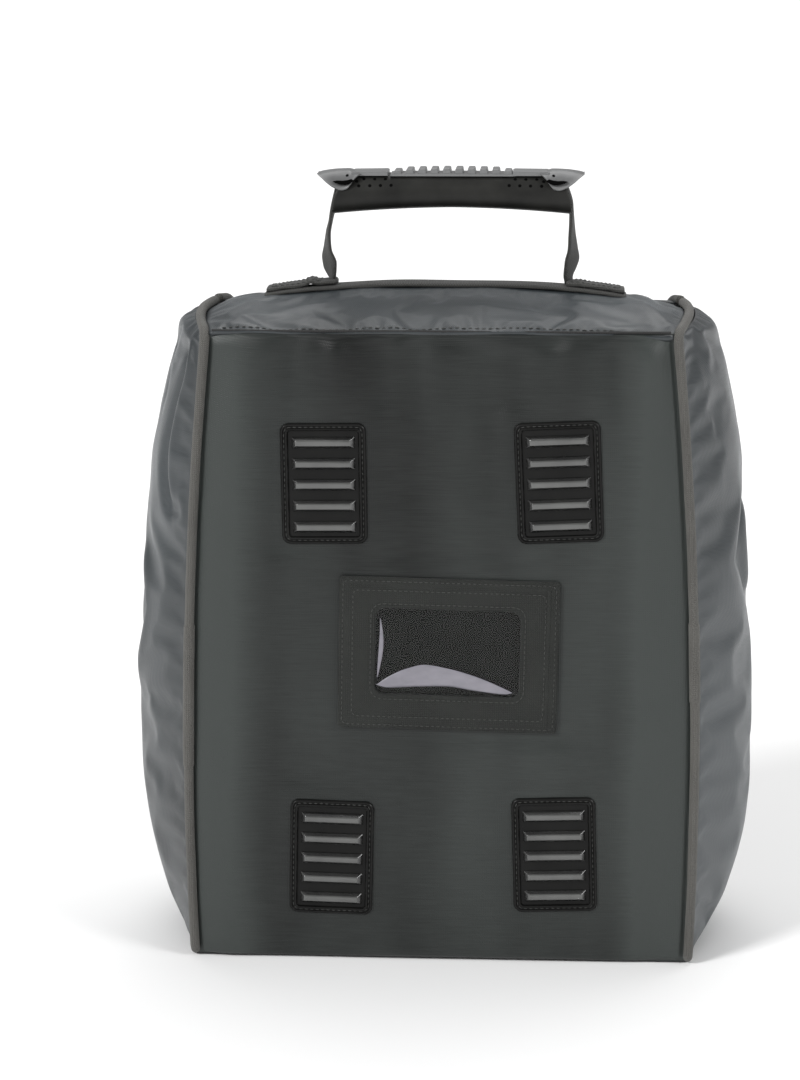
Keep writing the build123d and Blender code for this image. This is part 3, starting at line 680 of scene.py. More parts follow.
# ------------------------------------------------------------- sides
def side_face(sign, y0, y1, ny, nz, z0, seed):
    t = np.linspace(0, 1, ny)
    Y0 = y0 + (y1 - y0) * t
    v = np.linspace(0, 1, nz)
    P = np.zeros((ny, nz, 3))
    wv, fine = Waves(seed, 55, 170), Waves(seed + 1, 20, 44)
    for i, y in enumerate(Y0):
        zt = float(top_z(119.0, y)) - 0.3
        z = z0 + (zt - z0) * (1 - (1 - v) ** 1.5) * 0.5 + (zt - z0) * (0.5 - 0.5 * np.cos(np.pi * v)) * 0.5
        x = side_x(y, z) + 1.0
        P[i] = np.stack([x, np.full(nz, y), z], 1)
    Yg, Zg = P[..., 1], P[..., 2]
    e = np.minimum(Yg - (-FRONT), 400)
    body = smooth(0, 14, Zg - z0) * smooth(0, 14, zt - Zg) * smooth(-1, 10, Yg + FRONT) * smooth(-1, 10, REAR - Yg)
    x = P[..., 0] + body * (2.4 * wv(Yg, Zg, 2.4) + 0.22 * fine(Yg, Zg, 2.4))
    if sign < 0:
        # a long pleat beside the front piping, and a soft crease down the lower half
        path = -FRONT + 9 + 5 * bell(Zg, 255, 30) - 3 * bell(Zg, 300, 14)
        x = x + 2.5 * np.exp(-((Yg - path) / 2.6) ** 2) * smooth(205, 245, Zg) * smooth(316, 300, Zg)
        x = x - 2.4 * np.exp(-((Yg - path - 6) / 3.2) ** 2) * smooth(205, 240, Zg) * smooth(316, 300, Zg)
        path = -6 - 14 * bell(Zg, 175, 34)
        x = x - 2.8 * np.exp(-((Yg - path) / 5.5) ** 2) * smooth(110, 150, Zg) * smooth(215, 190, Zg)
        x = x + 2.2 * np.exp(-((Yg - path + 9) / 5.0) ** 2) * smooth(110, 150, Zg) * smooth(215, 190, Zg)
        path = -22 + 0.32 * (Zg - 285)
        x = x - 1.5 * np.exp(-((Yg - path) / 4.0) ** 2) * smooth(262, 284, Zg) * smooth(318, 306, Zg)
    else:
        path = -FRONT + 16 - 0.16 * (Zg - 270)
        x = x + 2.0 * np.exp(-((Yg - path) / 4.0) ** 2) * smooth(215, 250, Zg) * smooth(312, 292, Zg)
        path = -2 - 10 * bell(Zg, 205, 26)
        x = x + 2.2 * np.exp(-((Yg - path) / 4.5) ** 2) * smooth(165, 190, Zg) * smooth(240, 215, Zg)
        x = x - 2.2 * np.exp(-((Yg - path + 8) / 4.5) ** 2) * smooth(165, 190, Zg) * smooth(240, 215, Zg)
    P[..., 0] = x * sign
    return P


for sign, side in ((-1, "left"), (1, "right")):
    P = side_face(sign, -FRONT + 1.0, SHELL_Y, 70, 190, 2.0, 31 if sign < 0 else 37)
    pins = edge_pins(70, 190, 3.0)
    P = relax(P, pins, (sign, 0, 0), shrink=-0.010, pressure=0.25, cap=2.4, bend=5.0)
    o = slab(f"side_panel_{side}_cloth", P, 2.4, SIDE_M, (sign, 0, 0))
    ride(o, "shell", "side_fabric", f"side_panel_{side}")
    P = side_face(sign, COVER_Y, REAR - 1.0, 26, 150, 5.2, 41 if sign < 0 else 47)
    o = slab(f"cover_side_gusset_{side}_cloth", P, 2.4, SIDE_M, (sign, 0, 0))
    ride(o, "cover", "side_fabric", f"cover_side_gusset_{side}")

# ------------------------------------------------------------- base and hinge
u, v = np.meshgrid(np.linspace(-1, 1, 80), np.linspace(-1, 1, 44), indexing="ij")
w = 121.0
X, Y = u * w, MID_Y + v * (HALF_Y - 1.6)
e = np.minimum(w - np.abs(X), HALF_Y - 1.6 - np.abs(Y - MID_Y))
Z = 0.55 * np.exp(-e / 3.0) + 0.35 * np.clip(Waves(81, 30, 90)(X, Y), -1, 1) ** 2
P = np.stack([X, Y, Z], 2)
base = slab("bottom_panel_cloth", P, 1.1, BASE_M, (0, 0, -1))
ride(base, "shell", "base_fabric", "bottom_panel")

# a folded binding carries the cover along the rear bottom edge
t = np.linspace(0, 1, 90)
prof = np.array([(-5.5, 0.15), (-2.5, 0.15), (-0.9, 0.5), (0.1, 1.6), (0.35, 3.2), (0.35, 5.2), (0.2, 8.6)])
P = np.zeros((90, len(prof), 3))
for k, (dy, z) in enumerate(prof):
    P[:, k] = np.stack([(t * 2 - 1) * 121.0, np.full(90, REAR + dy) + 0.12 * np.sin(t * 160), np.full(90, z)], 1)
bind = slab("cover_fold_binding", P, 0.8, PIPE_M, (0, 1, -1))
for md in list(bind.modifiers):
    bpy.context.view_layer.objects.active = bind
    bpy.ops.object.modifier_apply(modifier=md.name)
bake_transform(bind)

# ------------------------------------------------------------- piping
def piping(name, points, radii, sign, body, node, joint=None):
    run = resample(rounded_run(points, radii), 0.9)
    x = seam_x(run[:, 0], run[:, 1]) + 0.2
    wob = 0.16 * Waves(91 + int(sign) + len(points), 25, 90)(run[:, 1], run[:, 0])
    path = np.stack([sign * (x + wob), run[:, 0], run[:, 1]], 1)
    s = np.arange(len(path)) * 0.9
    r = 2.35 + 0.07 * np.sin(s * 2 * np.pi / 1.8) + 0.05 * Waves(5, 9, 40)(s, 0 * s)
    if joint is not None:
        z0, z1 = joint
        front = path[:, 1] < -FRONT + 2
        r = r + 0.42 * (front & (path[:, 2] < z1) & (path[:, 2] > z0))
    o = tube(name, path, r, 18, PIPE_M)
    ride(o, body, "cord_piping", node)
    return o, path


front_run = [(ZIP_Y - 4.0, 319.8), (-4.0, 320.8), (-34.0, 320.2), (-FRONT + 0.4, 317.6), (-FRONT + 0.4, 2.6), (REAR - 9.0, 2.6)]
rear_run = [(ZIP_Y + 4.0, 319.9), (53.0, 317.9), (REAR - 0.4, 311.6), (REAR - 0.4, 8.5)]
for sign, side in ((-1, "left"), (1, "right")):
    piping(f"piping_front_{side}_cord", front_run, [90, 80, 8, 5], sign, "shell", f"piping_front_{side}",
           (136.0, 176.0) if sign > 0 else (100.0, 172.0))
    piping(f"piping_rear_{side}_cord", rear_run, [25, 6], sign, "cover", f"piping_rear_{side}")

# stitches along the top seam, sunk in the top panel's front edge
st = stitches("top_seam_stitches", seam_row, THREAD_M, (0, -0.5, 0.85), 3.2, 2.3, 0.34, 0.22)
# the turned-in edge of the front under the seam, in the near-black tape cloth: a painted shadow line along the seam
xs_ = np.linspace(-1, 1, 160) * (seam_w(317.0) - 3.0)
wv_ = Waves(93, 30, 90)(xs_, 0 * xs_)
o = tube("top_seam_fold", np.stack([xs_, -FRONT + 0.9 + 0.15 * wv_, 317.5 + 0.2 * wv_], 1), 0.75, 10, TAPE_M)
ride(o, "shell", "side_fabric")

# ------------------------------------------------------------- zip
def zip_line(n=900):
    """The zip's run, up one side, over the top and down the other, on the bag's outside."""
    z = np.linspace(9, 317.5, 300)
    left = np.stack([-side_x(ZIP_Y, z), z], 1)
    xs = np.linspace(-side_x(ZIP_Y, 317.5) + 3.0, side_x(ZIP_Y, 317.5) - 3.0, 220)
    mid = np.stack([xs, np.full(220, 318.9)], 1)
    right = np.stack([side_x(ZIP_Y, z[::-1]), z[::-1]], 1)
    return resample(np.concatenate([left, mid, right]), 1.5)


ZL = zip_line()
for _ in range(6):
    ZL[1:-1] = (ZL[:-2] + 2 * ZL[1:-1] + ZL[2:]) / 4
T = np.gradient(ZL, axis=0)
T /= np.linalg.norm(T, axis=1, keepdims=True)
NZ = np.stack([-T[:, 1], T[:, 0]], 1)          # outwards
for half, body, ya, yb in (("shell", "shell", ZIP_Y - 14.0, ZIP_Y - 0.06), ("cover", "cover", ZIP_Y + 0.06, ZIP_Y + 12.0)):
    ys = np.linspace(ya, yb, 8)
    P = np.zeros((len(ZL), 8, 3))
    for k, y in enumerate(ys):
        # the tape follows the cloth in front of it and never comes through
        drop = np.abs(NZ[:, :1]) * (side_x(ZIP_Y, ZL[:, 1:]) - side_x(y, ZL[:, 1:])) + np.abs(NZ[:, 1:]) * (top_z(ZL[:, :1], ZIP_Y) - top_z(ZL[:, :1], y))
        back = 0.9 * smooth(3.0, 7.0, abs(y - ZIP_Y))
        q = ZL - NZ * (3.0 + back + np.maximum(drop, 0.0))
        P[:, k] = np.stack([q[:, 0], np.full(len(ZL), y), q[:, 1]], 1)
    o = slab(f"zip_tape_{half}_cloth", P, 0.6, TAPE_M, (0, 0, 1), level=0)
    ride(o, body, "zip_tape", f"zip_tape_{half}")
    length = np.linalg.norm(np.diff(P, axis=0), axis=2).sum(0).mean() * MM
    # teeth: a row of turned nylon loops
    V, F = [], []
    s = -1 if half == "shell" else 1
    cube = [(-1, -1, -1), (1, -1, -1), (1, 1, -1), (-1, 1, -1), (-0.7, -0.7, 1), (0.7, -0.7, 1), (0.7, 0.7, 1), (-0.7, 0.7, 1)]
    for i in range(2, len(ZL) - 2):
        c, t, n = ZL[i] - NZ[i] * 1.75, T[i], NZ[i]
        base_i = len(V)
        for a, bb, cc in cube:
            p = c + t * a * 0.48 + n * cc * 0.95
            V.append((p[0] * MM, (ZIP_Y + s * (1.12 + 0.82 * bb)) * MM, p[1] * MM))
        for f in ((0, 3, 2, 1), (4, 5, 6, 7), (0, 1, 5, 4), (1, 2, 6, 5), (2, 3, 7, 6), (3, 0, 4, 7)):
            F.append(tuple(base_i + q for q in f))
    o = obj_from(f"zip_coil_{half}_teeth", V, F, COIL_M, shade=False)
    bm = bmesh.new(); bm.from_mesh(o.data)
    bmesh.ops.recalc_face_normals(bm, faces=bm.faces)
    bm.to_mesh(o.data); bm.free()
    ride(o, body, "zip_coil", f"zip_coil_{half}")

# ------------------------------------------------------------- lining
def lining_grid(name, P, out, body, *nodes, flat=None):
    o = slab(name, P, 0.5, LINING_M, out, level=0)
    ride(o, body, "lining_fabric", *nodes)
    return o


u, v = np.meshgrid(np.linspace(-1, 1, 60), np.linspace(0, 1, 60), indexing="ij")
Zf = 3.6 + (313.6 - 3.6) * v
Xf = u * (seam_w(Zf) - 4.5)
lining_grid("lining_front", np.stack([Xf, -FRONT + 3.3 + 0.3 * Waves(101, 40, 120)(Xf, Zf), Zf], 2), (0, -1, 0), "shell", "shell_lining")
Zr = 8.0 + (307.0 - 8.0) * v
Xr = u * (seam_w(Zr) - 4.5)
lining_grid("lining_rear", np.stack([Xr, REAR - 3.6 - 0.3 * Waves(102, 40, 120)(Xr, Zr), Zr], 2), (0, 1, 0), "cover", "cover_lining")
yy = -FRONT + 3.3 + (ZIP_Y - 15.0 + FRONT - 3.3) * v
xx = u * (seam_w(318.0) - 3.5)
lining_grid("lining_top", np.stack([xx, yy, top_z(xx, yy) - 3.7 + 0.3 * Waves(103, 40, 120)(xx, yy)], 2), (0, 0, 1), "shell")
yb = -FRONT + 3.3 + (REAR - 5.0 + FRONT - 3.3) * v
lining_grid("lining_base", np.stack([u * (seam_w(3.0) - 4.5), yb, 3.2 + 0 * u], 2), (0, 0, -1), "shell")
for sign, side in ((-1, "left"), (1, "right")):
    ys = np.linspace(-FRONT + 4.2, ZIP_Y - 15.0, 30)
    P = np.zeros((30, 80, 3))
    for i, y in enumerate(ys):
        z = np.linspace(6.0, float(top_z(119.0, y)) - 6.0, 80)
        P[i] = np.stack([sign * (side_x(y, z) - 3.9), np.full(80, y), z], 1)
    lining_grid(f"lining_side_{side}", P, (sign, 0, 0), "shell")
    ys = np.linspace(ZIP_Y + 15.0, REAR - 4.4, 14)
    P = np.zeros((14, 80, 3))
    for i, y in enumerate(ys):
        z = np.linspace(9.0, float(top_z(119.0, y)) - 8.0, 80)
        P[i] = np.stack([sign * (side_x(y, z) - 3.9), np.full(80, y), z], 1)
    lining_grid(f"lining_cover_side_{side}", P, (sign, 0, 0), "cover")
yc = ZIP_Y + 15.0 + (REAR - 4.4 - ZIP_Y - 15.0) * v
xc = u * (seam_w(318.0) - 3.5)
lining_grid("lining_cover_top", np.stack([xc, yc, top_z(xc, yc) - 4.2], 2), (0, 0, 1), "cover")


# ------------------------------------------------------------- pads
def rounded_rect(w, h, r, n=8):
    pts = []
    for cx, cy, a0 in ((w / 2 - r, h / 2 - r, 0), (-w / 2 + r, h / 2 - r, 90), (-w / 2 + r, -h / 2 + r, 180), (w / 2 - r, -h / 2 + r, 270)):
        for k in range(n + 1):
            a = math.radians(a0 + 90 * k / n)
            pts.append((cx + r * math.cos(a), cy + r * math.sin(a)))
    return pts


def stack(name, rings, mat, close_top=True):
    """A closed solid from rings of equal count: [(outline, height)], first is the back."""
    n = len(rings[0][0])
    V = [(x, y, h) for pts, h in rings for x, y in pts]
    F = [tuple(range(n))[::-1]]
    for k in range(len(rings) - 1):
        for i in range(n):
            j = (i + 1) % n
            F.append((k * n + i, k * n + j, (k + 1) * n + j, (k + 1) * n + i))
    F.append(tuple((len(rings) - 1) * n + i for i in range(n)))
    me = bpy.data.meshes.new(name)
    me.from_pydata([tuple(v) for v in V], [], F)
    o = bpy.data.objects.new(name, me)
    SCENE.collection.objects.link(o)
    me.materials.append(mat)
    bm = bmesh.new(); bm.from_mesh(me)
    bmesh.ops.recalc_face_normals(bm, faces=bm.faces)
    bm.to_mesh(me); bm.free()
    me.shade_smooth()
    return o


def rect_ring(w, h, r, height, dx=0, dy=0):
    return ([(x + dx, y + dy) for x, y in rounded_rect(w, h, r)], height)


def face_matrix(cx, cz, roll, out):
    out = out + LOFT
    r = math.radians(roll)
    return Matrix(((math.cos(r), -math.sin(r), 0, cx * MM), (0, 0, -1, (-FRONT - out) * MM), (math.sin(r), math.cos(r), 0, cz * MM), (0, 0, 0, 1))) @ Matrix.Diagonal((MM, MM, MM, 1))


def shade_edges(o, angle=34):
    me = o.data
    me.shade_smooth()
    bm = bmesh.new(); bm.from_mesh(me)
    for e in bm.edges:
        if len(e.link_faces) == 2 and e.calc_face_angle(0) > math.radians(angle):
            e.smooth = False
    bm.to_mesh(me); bm.free()


PADS = {"upper_left": 0.6, "upper_right": 2.6, "lower_left": -1.4, "lower_right": 1.8}
for key, roll in PADS.items():
    node = f"ribbed_pad_{key}"
    lo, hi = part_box(node)
    cx, cz = (lo.x + hi.x) / 2 / MM, (lo.z + hi.z) / 2 / MM
    W, H, R = 41.4, 59.2, 4.2
    parts = []
    # moulding: rolled outer lip, stitch channel, inner bead, sunk field
    rings = [rect_ring(W - 0.8, H - 0.8, R - 0.4, -1.5), rect_ring(W, H, R, -0.6), rect_ring(W, H, R, 0.5), rect_ring(W - 0.5, H - 0.5, R - 0.2, 0.95),
             rect_ring(W - 1.3, H - 1.3, R - 0.6, 1.25), rect_ring(W - 2.4, H - 2.4, R - 1.1, 1.2), rect_ring(W - 3.1, H - 3.1, R - 1.4, 0.75),
             rect_ring(W - 4.2, H - 4.2, R - 1.8, 0.7), rect_ring(W - 4.9, H - 4.9, R - 2.0, 1.35), rect_ring(W - 6.4, H - 6.4, R - 2.3, 1.45),
             rect_ring(W - 7.2, H - 6.9, R - 2.6, 1.1), rect_ring(W - 7.8, H - 7.4, R - 2.9, 0.35)]
    parts.append(stack("pad_field", rings, PAD_M))
    for i in range(5):
        dy = (i - 2) * 10.35 - 0.5
        L, Wd = 30.5, 5.6
        rr = [rect_ring(L, Wd, 0.5, 0.1, 0, dy), rect_ring(L, Wd, 0.5, 0.75, 0, dy), rect_ring(L - 0.5, Wd - 0.5, 0.45, 1.05, 0, dy), rect_ring(L - 3.9, Wd - 2.6, 0.3, 2.95, 0, dy + 0.1),
              rect_ring(L - 4.4, Wd - 3.1, 0.28, 3.2, 0, dy + 0.1), rect_ring(L - 5.0, Wd - 3.7, 0.2, 3.28, 0, dy + 0.1)]
        rib = stack("pad_rib", rr, RIB_M)
        # the ribs' top facets take the paler material, a painted highlight
        rib.data.materials.append(RIB_HIGHLIGHT_M)
        for fc in rib.data.polygons:
            if min(rib.data.vertices[q].co.z for q in fc.vertices) > 2.9:
                fc.material_index = 1
        parts.append(rib)
    o = join(f"{node}_moulding", parts)
    o.data.transform(face_matrix(cx, cz, roll, 0.0))
    shade_edges(o, 40)
    ride(o, "shell", "moulded_pad", node)
    ring = np.array(rounded_rect(W - 3.7, H - 3.7, R - 1.6, 6))
    ring = np.vstack([ring, ring[:1]])
    M = face_matrix(cx, cz, roll, 0.75)
    pts = np.array([list(M @ Vector((a, bb, 0.0))) for a, bb in ring]) / MM
    o = stitches(f"{node}_stitches", pts, THREAD_M, (0, -1, 0), 2.7, 2.0, 0.26)
    ride(o, "shell", "moulded_pad")

# ------------------------------------------------------------- card holder
lo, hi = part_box("card_frame")
cx, cz = (lo.x + hi.x) / 2 / MM, (lo.z + hi.z) / 2 / MM
CW, CH, roll = 107.0, 76.0, -1.2
wx, wy = -0.4, 1.2


def ringed(name, outer, inner, mat):
    """A soft-edged frame: outer and inner rings share one point count."""
    n = len(outer[0][0])
    rings = outer + inner
    V = [(x, y, h) for pts, h in rings for x, y in pts]
    F = []
    m_ = len(rings)
    for k in range(m_):
        k2 = (k + 1) % m_
        for i in range(n):
            j = (i + 1) % n
            F.append((k * n + i, k * n + j, k2 * n + j, k2 * n + i))
    me = bpy.data.meshes.new(name)
    me.from_pydata(V, [], F)
    o = bpy.data.objects.new(name, me)
    SCENE.collection.objects.link(o)
    me.materials.append(mat)
    bm = bmesh.new(); bm.from_mesh(me)
    bmesh.ops.recalc_face_normals(bm, faces=bm.faces)
    bm.to_mesh(me); bm.free()
    me.shade_smooth()
    return o


def wave_out(o, seed, amp):
    """A little unevenness, outwards, on a sewn-on piece lying on the face."""
    w1 = Waves(seed, 18, 60)
    co = np.array([v.co for v in o.data.vertices], float)
    co[:, 2] += amp * w1(co[:, 0], co[:, 1]) * (co[:, 2] > 0.2)
    o.data.vertices.foreach_set("co", co.ravel())


def dense_rect(w, h, r, n=8, along=14):
    """A rounded rectangle with points along its sides too."""
    pts = rounded_rect(w, h, r, n)
    out = []
    for i, p in enumerate(pts):
        q = pts[(i + 1) % len(pts)]
        d = math.hypot(q[0] - p[0], q[1] - p[1])
        k = along if d > 3 * r * math.pi / 2 / n + 2 else 1
        for t in range(k):
            out.append((p[0] + (q[0] - p[0]) * t / k, p[1] + (q[1] - p[1]) * t / k))
    return out


back = ringed("tmp", [(dense_rect(CW, CH, 1.6), -0.7), (dense_rect(CW, CH, 1.6), 1.7), (dense_rect(CW - 0.6, CH - 0.6, 1.4), 2.0), (dense_rect(CW - 1.6, CH - 1.6, 1.2), 2.3),
                      (dense_rect(CW - 3.2, CH - 3.2, 1.2), 2.15), (dense_rect(CW - 4.4, CH - 4.4, 1.2), 2.35), (dense_rect(CW - 14, CH - 12, 2.2), 2.75)],
              [([(x + wx, y + wy) for x, y in dense_rect(78.5, 51, 6)], 2.8), ([(x + wx, y + wy) for x, y in dense_rect(75, 47.8, 5.4)], 2.55), ([(x + wx, y + wy) for x, y in dense_rect(72.4, 45.2, 5.2)], 2.8),
               ([(x + wx, y + wy) for x, y in dense_rect(71.0, 43.8, 5.0)], 2.6), ([(x + wx, y + wy) for x, y in dense_rect(70.4, 43.2, 4.8)], 1.9), ([(x + wx, y + wy) for x, y in dense_rect(70.4, 43.2, 4.8)], 0.3)], PATCH_M)
back.name = "card_holder_frame"
wave_out(back, 201, 0.22)
back.data.transform(face_matrix(cx, cz, roll, 0.0))
ride(back, "shell", "patch_fabric", "card_frame", "card_backing")
# backing seen through the window
u, v = np.meshgrid(np.linspace(-1, 1, 40), np.linspace(-1, 1, 26), indexing="ij")
P = np.stack([u * 37, v * 23.4, 0.35 + 0.15 * Waves(203, 20, 60)(u * 37, v * 22)], 2)
o = slab("card_holder_back", P, 0.9, POCKET_M, (0, 0, 1), level=0)
o.data.transform(Matrix.Translation((0, 0, 0)))
Mx = face_matrix(cx, cz, roll, 0.0) @ Matrix.Translation((wx, wy, 0)) @ Matrix.Diagonal((1 / MM, 1 / MM, 1 / MM, 1))
o.data.transform(Mx)
ride(o, "shell", "patch_fabric")
# the doubled free edge on the right, where a card slides in
rr = [rect_ring(2.4, CH - 7.0, 0.6, 0.4), rect_ring(2.6, CH - 6.6, 0.8, 2.0), rect_ring(1.8, CH - 7.2, 0.7, 2.75), rect_ring(0.8, CH - 8.0, 0.3, 2.85)]
o = stack("card_holder_free_edge", rr, PATCH_M)
o.data.transform(face_matrix(cx, cz, roll, 0.0) @ Matrix.Translation((CW / 2 - 5.4, 0, 0)))
ride(o, "shell", "patch_fabric")
# film, slightly wavy
P = np.stack([u * 36.2, v * 22.6, 1.35 + 0.28 * Waves(207, 24, 60)(u * 37, v * 22) * (1 - u**6) * (1 - v**6) + 0.25 * (1 - u**2) * (1 - v**2)], 2)
o = slab("card_holder_film", P, 0.3, FILM_M, (0, 0, 1), level=1)
o.data.transform(Mx)
ride(o, "shell", "clear_film", "card_window")
# the pale crescent low on the window, in the glare material: a painted reflection
gx = np.linspace(-34.6, 32.0, 90)
g_hi = pchip([-34.6, -28, -20, -11, 0, 14, 26, 32], [-17.2, -12.5, -8.6, -6.3, -7.8, -11.5, -16.2, -19.0])(gx)
g_lo = pchip([-34.6, -29, -14, 0, 14, 29, 32], [-17.2, -18.4, -17.4, -16.9, -18.7, -20.0, -19.2])(gx)
P = np.zeros((90, 9, 3))
for k, q in enumerate(np.linspace(0, 1, 9)):
    P[:, k] = np.stack([gx, g_lo + (g_hi - g_lo) * q, 1.86 + 0.10 * np.sin(np.pi * q) + 0 * gx], 1)
o = slab("card_holder_film_glare", P, 0.12, GLARE_M, (0, 0, 1), level=0)
o.data.transform(Mx)
ride(o, "shell", "clear_film")
# a thin pale strip down the window's left side in the glare material: a painted glint
gz = np.linspace(-13.5, 16.5, 40)
P = np.zeros((40, 4, 3))
for k, q in enumerate(np.linspace(0, 1, 4)):
    P[:, k] = np.stack([-33.6 + 0.9 * np.sin(gz / 9.0) * 0.6 + q * 2.2 * np.sin(np.pi * (gz + 14.5) / 32.0), gz, 1.86 + 0 * gz], 1)
o = slab("card_holder_film_glint", P, 0.12, GLARE_M, (0, 0, 1), level=0)
o.data.transform(Mx)
ride(o, "shell", "clear_film")
for nm, w_, h_, r_, ox, oy, up in (("outer", CW - 3.6, CH - 3.6, 1.4, 0, 0, 2.25), ("second", CW - 13.5, CH - 12.5, 1.6, 0, 0, 2.8), ("inner", 75.0, 48.0, 5.4, wx, wy, 2.75)):
    ring = np.array(rounded_rect(w_, h_, r_, 6)) + [ox, oy]
    ring = np.vstack([ring, ring[:1]])
    M = face_matrix(cx, cz, roll, up)
    pts = np.array([list(M @ Vector((a, bb, 0.0))) for a, bb in ring]) / MM
    o = stitches(f"card_holder_stitches_{nm}", pts, THREAD_M, (0, -1, 0), 2.6, 1.9, 0.25)
    ride(o, "shell", "patch_fabric")

# ------------------------------------------------------------- handle: strip and tabs
def ribbon(name, X, half, z_of, thick, mat, ny=9, wob=0.0, seed=1):
    ys = np.linspace(-half, half, ny)
    P = np.zeros((len(X), ny, 3))
    for k, y in enumerate(ys):
        yy_ = np.full(len(X), y) * (1 + wob * Waves(seed, 20, 60)(X, 0 * X))
        P[:, k] = np.stack([X, yy_, z_of(X, yy_)], 1)
    return slab(name, P, thick, mat, (0, 0, 1), level=1)


def strip_top(x, y):
    return top_z(x, y) + 2.3 - 0.5 * (np.abs(y) / 12.0) ** 4


X = np.linspace(-89.5, 89.5, 120)
o = ribbon("handle_base_strip_web", X, 12.0, lambda x, y: strip_top(x, y) + 0.25 * Waves(301, 26, 70)(x, y), 1.9, WEB_M)
ride(o, "shell", "webbing", "handle_base_strip")
for sign, side in ((-1, "left"), (1, "right")):
    X = np.sort(sign * np.linspace(STRAP_X - 1.8 + 3.0 * sign, 88.6, 36))
    fold = lambda x, y: strip_top(x, y) + 2.4 + 0.35 * Waves(310 + sign, 12, 30)(x, y) * 0.6 + 1.5 * bell(np.abs(x), STRAP_X + 8.0, 2.4) * (1 if sign < 0 else 0.25) - 0.5 * (np.abs(y) / 10.0) ** 4
    o = ribbon(f"handle_tab_{side}_web", X, 10.0, fold, 2.0, WEB_M)
    ride(o, "shell", "webbing", f"handle_tab_{side}")
    xs = sign * np.array([STRAP_X + 3, 86, 86, STRAP_X + 3, STRAP_X + 3, 86, 86, STRAP_X + 3.0])
    ys = np.array([-8, -8, 8, 8, -8, 8, -8, 8.0])
    path = resample(np.stack([xs, ys], 1), 1.0)
    pts = np.stack([path[:, 0], path[:, 1], fold(path[:, 0], path[:, 1]) + 0.1], 1)
    o = stitches(f"handle_tab_{side}_stitches", pts, THREAD_M, (0, 0, 1), 2.6, 1.9, 0.25)
    ride(o, "shell", "webbing")

# legs: webbing that rises edge-on, turns and pinches where it is sewn down
for sign, side in ((-1, "left"), (1, "right")):
    if sign < 0:
        zs = [331.0, 333.5, 336, 340, 344, 350, 357, 364, 372, 382]
        dx = [0.6, 0.2, -0.8, -1.8, -2.2, -2.9, -2.6, -1.2, 0.4, 2.8]
        hw = [4.6, 5.0, 6.5, 8.6, 9.8, 10.0, 10.0, 10.0, 9.8, 9.6]
        tw = [6, 10, 17, 24, 24, 13, 7, 3, 0, 0]
    else:
        zs = [331.0, 333.5, 336, 340, 344, 350, 357, 364, 372, 382]
        dx = [-0.4, -0.6, -0.6, 0.2, 0.9, 1.2, 0.8, 0.6, 0.2, -2.8]
        hw = [4.4, 5.0, 6.5, 8.4, 9.6, 10.0, 10.0, 10.0, 9.8, 9.6]
        tw = [-8, -10, -14, -19, -20, -12, -7, -3, 0, 0]
    z = np.linspace(zs[0], 381.5, 60)
    DX, HW, TW = (pchip(zs, q)(z) for q in (dx, hw, tw))
    th = np.linspace(0, 2 * np.pi, 28, endpoint=False)
    V = np.zeros((60, 28, 3))
    for i in range(60):
        a = math.radians(TW[i])
        ca, sa = np.cos(th), np.sin(th)
        half_t = 1.15 + 0.9 * math.exp(-(z[i] - 331) / 4.0)
        ly = np.sign(ca) * np.abs(ca) ** 0.55 * HW[i]
        lx = np.sign(sa) * np.abs(sa) ** 0.75 * half_t + 0.5 * np.cos(ly * 0.5) * math.exp(-(z[i] - 331) / 8.0)
        shift = 3.0
        V[i] = np.stack([sign * STRAP_X + DX[i] + shift + lx * math.cos(a) - ly * math.sin(a), lx * math.sin(a) + ly * math.cos(a), np.full(28, z[i])], 1)
    F = grid_faces(60, 28)
    F = [(a, b_, c, d) for a, b_, c, d in F]
    for i in range(59):
        F.append((i * 28 + 27, (i + 1) * 28 + 27, (i + 1) * 28, i * 28))
    F.append(tuple(range(28)))
    F.append(tuple(59 * 28 + j for j in range(28))[::-1])
    o = obj_from(f"handle_leg_{side}_web", V.reshape(-1, 3) * MM, F, WEB_M)
    bm = bmesh.new(); bm.from_mesh(o.data)
    bmesh.ops.recalc_face_normals(bm, faces=bm.faces)
    bm.to_mesh(o.data); bm.free()
    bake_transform(o)
    if sign < 0:
        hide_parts("handle_strap")

# ------------------------------------------------------------- grip
GZ = 0.0
n, seg = 73, 40
V = np.zeros((n, seg, 3))
th = np.linspace(0, 2 * np.pi, seg, endpoint=False)
for i, s in enumerate(np.linspace(-1, 1, n)):
    a = abs(s)
    bot = 370.0 - 2.6 * a ** 2.0 + 0.5 * (1 - a)
    topz = 387.1
    mid, hh = (bot + topz) / 2, (topz - bot) / 2
    hy = 13.0 - 0.9 * (1 - a) * 1.0
    ca, sa = np.cos(th), np.sin(th)
    ex = 0.62
    y = np.sign(ca) * np.abs(ca) ** ex * hy
    zz = np.sign(sa) * np.abs(sa) ** 0.7 * hh
    zz = np.where(zz > 0, zz, zz)
    y = y * (1 - 0.16 * smooth(0, 1, (zz / hh + 0.1)) )
    zw = mid + zz
    xe = 58.6 - 3.4 * np.clip((zw - 370) / 13.0, 0, 1.3) ** 1.6
    V[i] = np.stack([HX + 0.8 + s * xe, y, zw], 1)
F = []
for i in range(n - 1):
    for j in range(seg):
        k = (j + 1) % seg
        F.append((i * seg + j, i * seg + k, (i + 1) * seg + k, (i + 1) * seg + j))
F.append(tuple(range(seg))[::-1])
F.append(tuple((n - 1) * seg + j for j in range(seg)))
body = obj_from("grip_body", V.reshape(-1, 3) * MM, F, GRIP_M)
bm = bmesh.new(); bm.from_mesh(body.data)
bmesh.ops.recalc_face_normals(bm, faces=bm.faces)
bm.to_mesh(body.data); bm.free()
